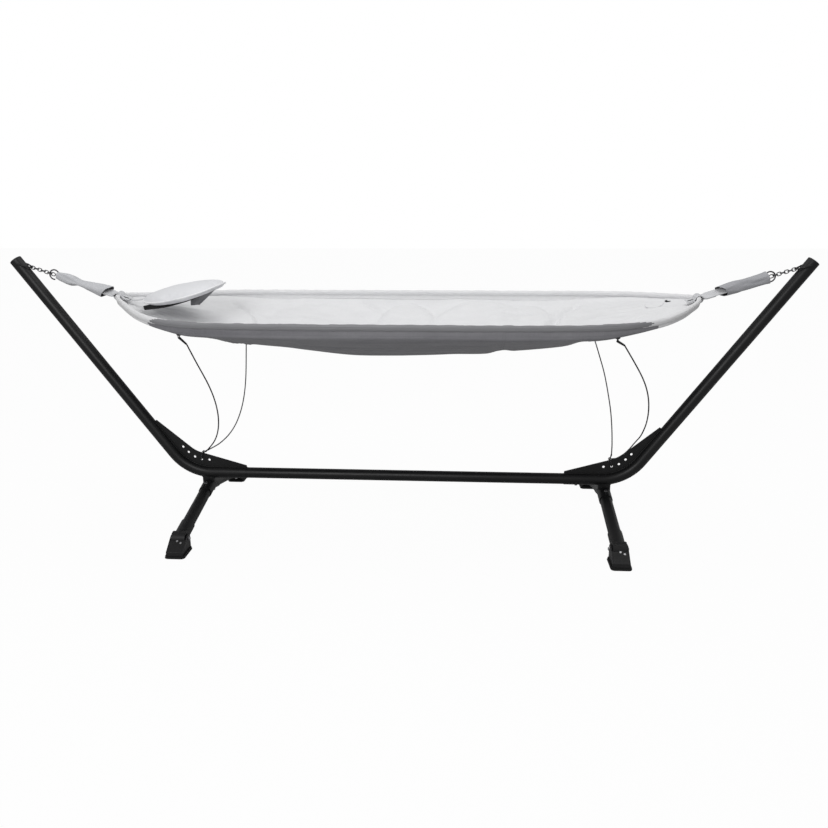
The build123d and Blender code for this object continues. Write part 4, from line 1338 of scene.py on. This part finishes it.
@dataclass
class Strap:
    """Webbing from the ring to the bed's tip, with the sleeve round it."""

    finishes: Finishes
    line: HangingLine
    rim: Rim
    side: Side
    stations: tuple[tuple[float, float, float], ...]
    twist: float
    width: float = 0.045
    thick: float = 0.0025
    ring: float = 0.167
    loop: float = 0.00395
    sewn: float = 0.231
    end: float = 0.428
    turn: float = math.radians(22)
    cut: float = 0.011

    def arc(
        self, middle: tuple[float, float], size: float, start: float, end: float, steps: int
    ) -> list[Vector]:
        """Gives points round a bar in the strap's upright plane.

        Args:
            middle: The bar's place along the line and above it.
            size: The bend's radius.
            start: First angle in degrees, up from the bed.
            end: Last angle in degrees.
            steps: Number of points less one.

        Returns:
            The points.
        """
        made = []
        for k in range(steps + 1):
            angle = math.radians(start + (end - start) * k / steps)
            along, lift = middle[0] + size * math.cos(angle), middle[1] + size * math.sin(angle)
            made.append(self.line.point(self.side, along, 0.0, lift))
        return made

    def run(self, start: float, end: float, lift: float, steps: int) -> list[Vector]:
        """Gives points of a straight run beside the line."""
        return [
            self.line.point(self.side, start + (end - start) * k / steps, 0.0, lift) for k in range(steps + 1)
        ]

    def tilt(self, point: Vector) -> float:
        """Gives the webbing's turn at a point: level at the ring and the hem, turned between them."""
        along = (self.line.start_x - abs(point.x)) / math.cos(self.line.fall)
        return self.turn * smoothed((along - 0.20) / 0.08) * (1 - 0.75 * smoothed((along - 0.350) / 0.022))

    def straps(self) -> list[bpy.types.Object]:
        """Builds the long strap and the short one under the hem."""
        half = self.thick / 2
        hem_run = (self.line.start_x - self.rim.tip_x) / math.cos(self.line.fall)
        hem = (hem_run, 0.0002)
        bend = self.rim.hem + 0.0008 + half
        rise = math.degrees(math.asin(half / bend)) + 6
        neck = math.degrees(math.asin(half / self.loop))
        upper = self.run(self.sewn, self.ring + 0.0045, -half, 14)
        upper += self.arc((self.ring, 0.0), self.loop, 360 - neck, neck, 16)[1:-1]
        upper += self.run(self.ring + 0.0045, hem_run - bend - 0.006, half, 40)
        upper += self.arc(hem, bend, 180 - rise, rise, 14)
        upper += self.run(hem_run + bend + 0.006, self.end, half, 10)
        lower = self.run(hem_run - bend - 0.05, hem_run - bend - 0.006, -half, 8)
        lower += self.arc(hem, bend, 180 + rise, 360 - rise, 14)
        lower += self.run(hem_run + bend + 0.006, hem_run + bend + 0.022, -half, 4)
        made = []
        for word, points in (("strap", upper), ("strap_turn", lower)):
            points = even_line(points, 0.0035, passes=2)
            bm = ribbon(points, self.tilt, self.width, self.thick)
            made.append(finished(f"webbing_{word}_{self.side.name.lower()}", bm, self.finishes.strap))
        return made

    def slit(self) -> bpy.types.Object:
        """Builds the worked slit in the strap's tail: a ring in the painted shadow black for the shade inside
        it.
        """
        turns = [math.tau * k / 40 for k in range(40)]
        points = []
        for a in turns:
            along, across = 0.4115 + 0.0115 * math.cos(a), -0.006 + 0.0016 * math.sin(a)
            points.append(self.line.point(self.side, along, across, self.thick))
        bm = tube(points, lambda along, turn: 0.0013 + 0.0002 * math.sin(along * 1800), 8, closed=True)
        return finished(f"strap_slit_{self.side.name.lower()}", bm, self.finishes.shadow)

    def sleeve(self) -> bpy.types.Object:
        """Builds the twisted cloth sleeve, open at both ends."""
        start, end = self.stations[0][0], self.stations[-1][0]
        seed = 4.0 + self.side.value

        def place(along: float, turn: float) -> Vector:
            """Gives a point of the sleeve's outer face."""
            reach = start + (end - start) * along
            half_width, half_height = eased(self.stations, reach)
            angle = math.tau * turn
            c, s = math.cos(angle), math.sin(angle)
            size = (abs(c) ** 2.6 + abs(s) ** 2.6) ** (-1 / 2.6)
            pleat = 0.0016 * math.sin(4 * angle + 30 * reach) * (1 - 0.5 * abs(2 * along - 1))
            wrinkle = 0.0030 * noise.noise(Vector((c * 1.5 + reach * 16, s * 1.5, seed)))
            wrinkle += 0.0006 * noise.noise(Vector((c * 2.4, s * 2.4 + reach * 34, seed * 2)))
            shrink = 0.94 + (pleat + wrinkle) / 0.022
            across, lift = half_width * size * c * shrink, half_height * size * s * shrink
            roll = self.twist * (along - 0.5)
            across, lift = (
                across * math.cos(roll) - lift * math.sin(roll),
                across * math.sin(roll) + lift * math.cos(roll),
            )
            ragged = 0.0035 * noise.noise(Vector((c, s, seed))) * (1 if along in (0.0, 1.0) else 0)
            slant = self.cut * (s + c) * max(0.0, 2 * along - 1) ** 2
            return self.line.point(self.side, reach + ragged + slant, across, lift)

        bm = shaped_grid(72, 56, place, lambda u, v: ((end - start) * u, 0.16 * v))
        bmesh.ops.remove_doubles(bm, verts=bm.verts, dist=1e-6)
        bmesh.ops.recalc_face_normals(bm, faces=bm.faces)
        away = sum(
            face.normal.dot(face.calc_center_median() - self.line.point(self.side, (start + end) / 2))
            for face in bm.faces
        )
        if away < 0:
            bmesh.ops.reverse_faces(bm, faces=bm.faces)
        bmesh.ops.solidify(bm, geom=bm.faces[:], thickness=0.0016)
        top = self.line.point(self.side, 0.0)
        heading = self.line.point(self.side, 1.0) - top
        # Painted shade: the inner faces take the near-black cloth for the shade inside the sleeve.
        for face in bm.faces:
            away = face.calc_center_median() - top
            away -= heading * away.dot(heading)
            face.material_index = 1 if face.normal.dot(away) < 0 else 0
        # Painted shade: the right sleeve takes the darker copy of the same sleeve cloth.
        outer = self.finishes.sleeve if self.side is Side.LEFT else self.finishes.grey_sleeve
        return finished(f"cloth_sleeve_{self.side.name.lower()}", bm, outer, self.finishes.painted_shade_inner)

    def build(self) -> list[bpy.types.Object]:
        """Builds one end's webbing, slit and sleeve, attaches them to the hammock body and hides the imported
        ones.
        """
        word = self.side.name.lower()
        straps, slit, sleeve = self.straps(), self.slit(), self.sleeve()
        for piece in (*straps, slit, sleeve):
            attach(piece, "hammock")
        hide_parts(f"strap_{word}")
        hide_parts(f"strap_sleeve_{word}")
        return [*straps, slit, sleeve]


# ---------------------------------------------------------------- the cords


@dataclass
class Tether:
    """One limp cord from a tab under the rim to a gusset plate's ring."""

    finishes: Finishes
    side: Side
    row: Row
    length: float
    route: tuple[tuple[float, float, float], ...]
    diameter: float = 0.005

    def build(self) -> list[bpy.types.Object]:
        word = f"{self.row.name.lower()}_{self.side.name.lower()}"
        line = route_line([Vector(point) for point in self.route])
        bm = tube(line, lambda along, turn: self.diameter / 2, 12)
        finish = self.finishes.near_cord if self.row is Row.FRONT else self.finishes.far_cord
        piece = finished(f"cord_{word}", bm, finish)
        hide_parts(f"tether_{word}")
        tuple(self.route[0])
        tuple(self.route[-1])
        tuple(self.route[0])
        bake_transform(piece)
        return [piece]


# fmt: off
CORDS: dict[tuple[Side, Row], tuple[float, tuple[tuple[float, float, float], ...]]] = {
    (Side.LEFT, Row.FRONT): (
        0.699,
        (
            (-0.724, -0.425, 0.809), (-0.712, -0.396, 0.753), (-0.701, -0.363, 0.699),
            (-0.692, -0.328, 0.647), (-0.688, -0.291, 0.593), (-0.690, -0.254, 0.541),
            (-0.698, -0.216, 0.490), (-0.712, -0.177, 0.441), (-0.732, -0.137, 0.395),
            (-0.758, -0.097, 0.352), (-0.790, -0.058, 0.314), (-0.824, -0.024, 0.280),
        ),
    ),
    (Side.LEFT, Row.REAR): (
        0.840,
        (
            (-0.754, 0.450, 0.821), (-0.754, 0.448, 0.756), (-0.756, 0.445, 0.690),
            (-0.759, 0.441, 0.625), (-0.762, 0.436, 0.560), (-0.764, 0.425, 0.495),
            (-0.767, 0.403, 0.433), (-0.772, 0.371, 0.377), (-0.779, 0.329, 0.333),
            (-0.787, 0.277, 0.300), (-0.797, 0.214, 0.279), (-0.807, 0.150, 0.270),
            (-0.817, 0.086, 0.268), (-0.829, 0.025, 0.272),
        ),
    ),
    (Side.RIGHT, Row.FRONT): (
        0.790,
        (
            (0.789, -0.425, 0.818), (0.820, -0.395, 0.773), (0.850, -0.361, 0.729),
            (0.878, -0.325, 0.686), (0.902, -0.288, 0.642), (0.921, -0.249, 0.597),
            (0.935, -0.209, 0.551), (0.945, -0.167, 0.506), (0.951, -0.124, 0.460),
            (0.952, -0.080, 0.416), (0.950, -0.037, 0.376), (0.941, 0.002, 0.343),
            (0.923, 0.024, 0.303), (0.897, 0.027, 0.275), (0.869, 0.017, 0.265),
        ),
    ),
    (Side.RIGHT, Row.REAR): (
        0.775,
        (
            (0.769, 0.450, 0.829), (0.793, 0.447, 0.773), (0.812, 0.440, 0.715),
            (0.832, 0.428, 0.658), (0.849, 0.410, 0.603), (0.865, 0.386, 0.549),
            (0.875, 0.356, 0.496), (0.881, 0.319, 0.448), (0.884, 0.275, 0.406),
            (0.882, 0.226, 0.370), (0.877, 0.173, 0.341), (0.870, 0.119, 0.315),
            (0.862, 0.066, 0.293), (0.853, 0.022, 0.280),
        ),
    ),
}
# fmt: on


# ---------------------------------------------------------------- the stand


@dataclass
class Welds:
    """Weld beads where plates, brackets and eyes meet the bent arms."""

    finishes: Finishes
    tube: float = 0.024
    tube_z: float = 0.181
    tip_x: float = 1.55
    tip_z: float = 1.066
    slope: float = math.radians(54.1)
    bend: float = 0.197
    start_x: float = 0.662
    leg_x: float = 0.826

    def arm_line(self, inward: float, step: float = 0.0014) -> list[Vector]:
        """Gives the right arm's lower run, moved off its axis towards the bed.

        Args:
            inward: Distance off the axis, in metres.
            step: Distance between points.

        Returns:
            Points from the plate's low end to its high end, in the plane of the arm.
        """
        corner_x = self.tip_x - (self.tip_z - self.tube_z) / math.tan(self.slope)
        run = self.bend * math.tan(self.slope / 2)
        middle = Vector((corner_x - run, 0, self.tube_z + self.bend))
        size = self.bend - inward
        line = [Vector((self.start_x, 0, self.tube_z + inward))]
        for k in range(25):
            angle = self.slope * k / 24
            line.append(middle + Vector((size * math.sin(angle), 0, -size * math.cos(angle))))
        line.append(line[-1] + Vector((math.cos(self.slope), 0, math.sin(self.slope))) * 0.150)
        return even_line(line, step)

    def axis_z(self, x: float) -> float:
        """Gives the height of the right arm's axis near the legs."""
        corner_x = self.tip_x - (self.tip_z - self.tube_z) / math.tan(self.slope)
        past = x - (corner_x - self.bend * math.tan(self.slope / 2))
        return self.tube_z + (self.bend - math.sqrt(self.bend**2 - past**2) if past > 0 else 0.0)

    def bead(self, points: Sequence[Vector], size: float, closed: bool = False) -> bmesh.types.BMesh:
        """Builds one rippled bead.

        Args:
            points: Its line.
            size: Its radius.
            closed: Whether it runs back to its start.

        Returns:
            The bead.
        """
        return tube(points, lambda along, turn: size * (0.84 + 0.2 * abs(math.sin(along * 780))), 8, closed)

    def lines(self, side: Side) -> list[tuple[list[Vector], float, bool]]:
        """Gives every bead of one end: its line, its radius and whether it is closed."""
        mirror = Vector((side.value, 1, 1))
        made = []
        for row in Row:
            edge = [p + Vector((0, row.value * 0.0032, 0)) for p in self.arm_line(self.tube + 0.0004)]
            made.append((edge, 0.0024, False))
            for up in (-1, 1):
                ends = [
                    HangingLine().point(Side.RIGHT, -0.034, row.value * 0.0253, up * 0.0028),
                    HangingLine().point(Side.RIGHT, -0.012, row.value * 0.0246, up * 0.0028),
                ]
                made.append((even_line(ends, 0.0014), 0.0015, False))
        ring = []
        for x, y in ((-0.025, -0.017), (0.025, -0.017), (0.025, 0.017), (-0.025, 0.017)):
            ring.append(Vector((self.leg_x + x, y, 0)))
        ring = even_line(ring, 0.0014, closed=True, passes=6)
        for p in ring:
            p.z = self.axis_z(p.x) - math.sqrt(self.tube**2 - p.y**2) - 0.0008
        made.append((ring, 0.0022, True))
        return [
            ([Vector(p * m for p, m in zip(q, mirror)) for q in line], size, loop)
            for line, size, loop in made
        ]

    def build(self) -> list[bpy.types.Object]:
        """Builds each end's beads as one piece."""
        made = []
        for side in Side:
            whole = bmesh.new()
            for line, size, closed in self.lines(side):
                bm = self.bead(line, size, closed)
                part = bpy.data.meshes.new("bead")
                bm.to_mesh(part)
                bm.free()
                whole.from_mesh(part)
                bpy.data.meshes.remove(part)
            piece = finished(f"weld_beads_{side.name.lower()}", whole, self.finishes.frame)
            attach(piece, "stand")
            made.append(piece)
        return made


@dataclass
class Hardware:
    """Finishes for the metal, plastic and rubber nodes that keep their shape."""

    finishes: Finishes

    def dress(self, nodes: dict[str, bpy.types.Object]) -> None:
        """Gives each node its finish.

        Args:
            nodes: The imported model's objects by name.
        """
        finishes = self.finishes
        table = (
            (("centre_tube", "arm_left", "arm_right", "gusset_", "leg_"), finishes.frame),
            (("leg_bolts", "leg_nuts", "pivot_bolt_", "foot_fasteners_", "splice_screws"), finishes.plated),
            (("arm_caps", "ankle_", "foot_front", "foot_rear"), finishes.plastic),
            (("foot_pad_",), finishes.rubber),
            (("arm_eyes",), finishes.frame),
            (("chain_", "s_hook_", "strap_rings"), finishes.hanging),
            (("tether_hooks", "tether_ends", "tether_rings"), finishes.black_steel),
            (("rim_rods", "rod_ferrules"), finishes.rods),
            (("strap_left", "strap_right", "pillow_tie"), finishes.strap),
            (("strap_sleeve_",), finishes.sleeve),
            (("bed_cloth", "rim_hem"), finishes.inside),
            (("pillow",), finishes.pillow),
            (("tether_tabs",), finishes.dark_strap),
            (("tether_front", "tether_rear"), finishes.near_cord),
        )
        for name, node in nodes.items():
            material = next((m for starts, m in reversed(table) if name.startswith(starts)), finishes.frame)
            node.data.materials.clear()
            node.data.materials.append(material)
            log.info("node %s takes %s", name, material.name)


# ---------------------------------------------------------------- the studio


@dataclass
class Studio:
    """Floor, backdrop light, lamps and camera."""

    lens: float = 34.78
    spot: tuple[float, float, float] = (0.2573, -3.133, 1.3285)
    yaw: float = 0.0676
    pitch: float = -0.2734
    roll: float = 0.0041
    white: float = 1.0

    def camera(self) -> None:
        """Places the camera."""
        data = bpy.data.cameras.new("camera")
        data.lens = self.lens
        data.sensor_width = 36.0
        camera = bpy.data.objects.new("camera", data)
        turn = (
            Matrix.Rotation(self.yaw, 4, "Z")
            @ Matrix.Rotation(self.pitch, 4, "X")
            @ Matrix.Rotation(self.roll, 4, "Y")
            @ Matrix.Rotation(math.pi / 2, 4, "X")
        )
        camera.matrix_world = Matrix.Translation(self.spot) @ turn
        bpy.context.scene.collection.objects.link(camera)
        bpy.context.scene.camera = camera

    def floor(self) -> bpy.types.Object:
        """Lays the pale floor, which shows near white and keeps a soft shadow."""
        material = bpy.data.materials.new("studio_floor")
        material.use_nodes = True
        tree = material.node_tree
        shader = tree.nodes["Principled BSDF"]
        grain = tree.nodes.new("ShaderNodeTexNoise")
        grain.inputs["Scale"].default_value = 30.0
        shade = tree.nodes.new("ShaderNodeMix")
        shade.data_type = "RGBA"
        shade.inputs[6].default_value = (0.58, 0.58, 0.58, 1)
        shade.inputs[7].default_value = (0.62, 0.62, 0.62, 1)
        tree.links.new(grain.outputs["Fac"], shade.inputs[0])
        tree.links.new(shade.outputs[2], shader.inputs["Base Color"])
        shader.inputs["Roughness"].default_value = 0.9
        shader.inputs["Specular IOR Level"].default_value = 0.1
        glow = tree.nodes.new("ShaderNodeEmission")
        rays = tree.nodes.new("ShaderNodeLightPath")
        seen = tree.nodes.new("ShaderNodeMath")
        seen.operation = "MULTIPLY"
        seen.inputs[1].default_value = 0.97
        both = tree.nodes.new("ShaderNodeMixShader")
        tree.links.new(rays.outputs["Is Camera Ray"], seen.inputs[0])
        tree.links.new(seen.outputs[0], both.inputs[0])
        tree.links.new(shader.outputs[0], both.inputs[1])
        tree.links.new(glow.outputs[0], both.inputs[2])
        tree.links.new(both.outputs[0], tree.nodes["Material Output"].inputs["Surface"])
        bm = bmesh.new()
        bmesh.ops.create_grid(bm, x_segments=4, y_segments=4, size=16.0)
        piece = finished("floor", bm, material)
        return piece

    def world(self) -> None:
        """Makes the room's light: white to the camera, soft grey to the object."""
        world = bpy.data.worlds.new("room")
        bpy.context.scene.world = world
        world.use_nodes = True
        tree = world.node_tree
        base = tree.nodes["Background"]
        base.inputs["Color"].default_value = (1.0, 1.0, 1.0, 1)
        base.inputs["Strength"].default_value = 0.47
        shown = tree.nodes.new("ShaderNodeBackground")
        shown.inputs["Color"].default_value = (1, 1, 1, 1)
        shown.inputs["Strength"].default_value = self.white
        rays = tree.nodes.new("ShaderNodeLightPath")
        both = tree.nodes.new("ShaderNodeMixShader")
        tree.links.new(rays.outputs["Is Camera Ray"], both.inputs[0])
        tree.links.new(base.outputs[0], both.inputs[1])
        tree.links.new(shown.outputs[0], both.inputs[2])
        tree.links.new(both.outputs[0], tree.nodes["World Output"].inputs["Surface"])

    def lamp(self, name: str, spot: Vector, aim: Vector, size: float, power: float) -> None:
        """Hangs one soft square lamp.

        Args:
            name: Its name.
            spot: Where it hangs.
            aim: What it faces.
            size: Its side, in metres.
            power: Its power, in watts.
        """
        data = bpy.data.lights.new(name, "AREA")
        data.size = size
        data.energy = power
        lamp = bpy.data.objects.new(name, data)
        lamp.location = spot
        lamp.rotation_euler = (aim - spot).to_track_quat("-Z", "Y").to_euler()
        bpy.context.scene.collection.objects.link(lamp)

    def build(self) -> None:
        """Sets the whole studio."""
        bpy.context.scene.view_settings.view_transform = "Standard"
        self.camera()
        self.floor()
        self.world()
        self.lamp("top_light", Vector((0.3, 0.2, 3.6)), Vector((0, 0, 0.5)), 3.0, 52.0)
        self.lamp("front_fill", Vector((-0.9, -3.5, 2.3)), Vector((0, 0, 0.8)), 1.0, 56.0)


# ---------------------------------------------------------------- main


def main() -> None:
    """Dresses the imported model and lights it."""
    logging.basicConfig(level=logging.INFO, format="%(message)s")
    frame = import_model()
    finishes = Finishes()
    line, rim = HangingLine(), Rim()
    Studio().build()
    pieces: list[bpy.types.Object] = []
    for (side, row), (length, route) in CORDS.items():
        pieces += Tether(finishes, side, row, length, route).build()
    Hardware(finishes).dress(frame["nodes"])
    pieces += Bed(finishes, rim).build()
    pieces += Tabs(finishes).build()
    pieces += Pillow(finishes).build()
    left = (
        (0.129, 0.031, 0.015),
        (0.150, 0.034, 0.021),
        (0.180, 0.034, 0.023),
        (0.208, 0.028, 0.014),
        (0.226, 0.028, 0.013),
        (0.260, 0.029, 0.017),
        (0.300, 0.030, 0.022),
        (0.331, 0.031, 0.026),
    )
    right = (
        (0.120, 0.032, 0.023),
        (0.136, 0.034, 0.021),
        (0.160, 0.035, 0.020),
        (0.185, 0.034, 0.021),
        (0.205, 0.030, 0.023),
        (0.235, 0.031, 0.025),
        (0.265, 0.030, 0.023),
        (0.293, 0.029, 0.021),
    )
    pieces += Strap(finishes, line, rim, Side.LEFT, left, math.radians(34)).build()
    pieces += Strap(finishes, line, rim, Side.RIGHT, right, math.radians(-20)).build()
    pieces += Welds(finishes).build()
    for piece in pieces:
        log.info("piece %s: %d vertices", piece.name, len(piece.data.vertices))


if __name__ == "__main__":
    main()
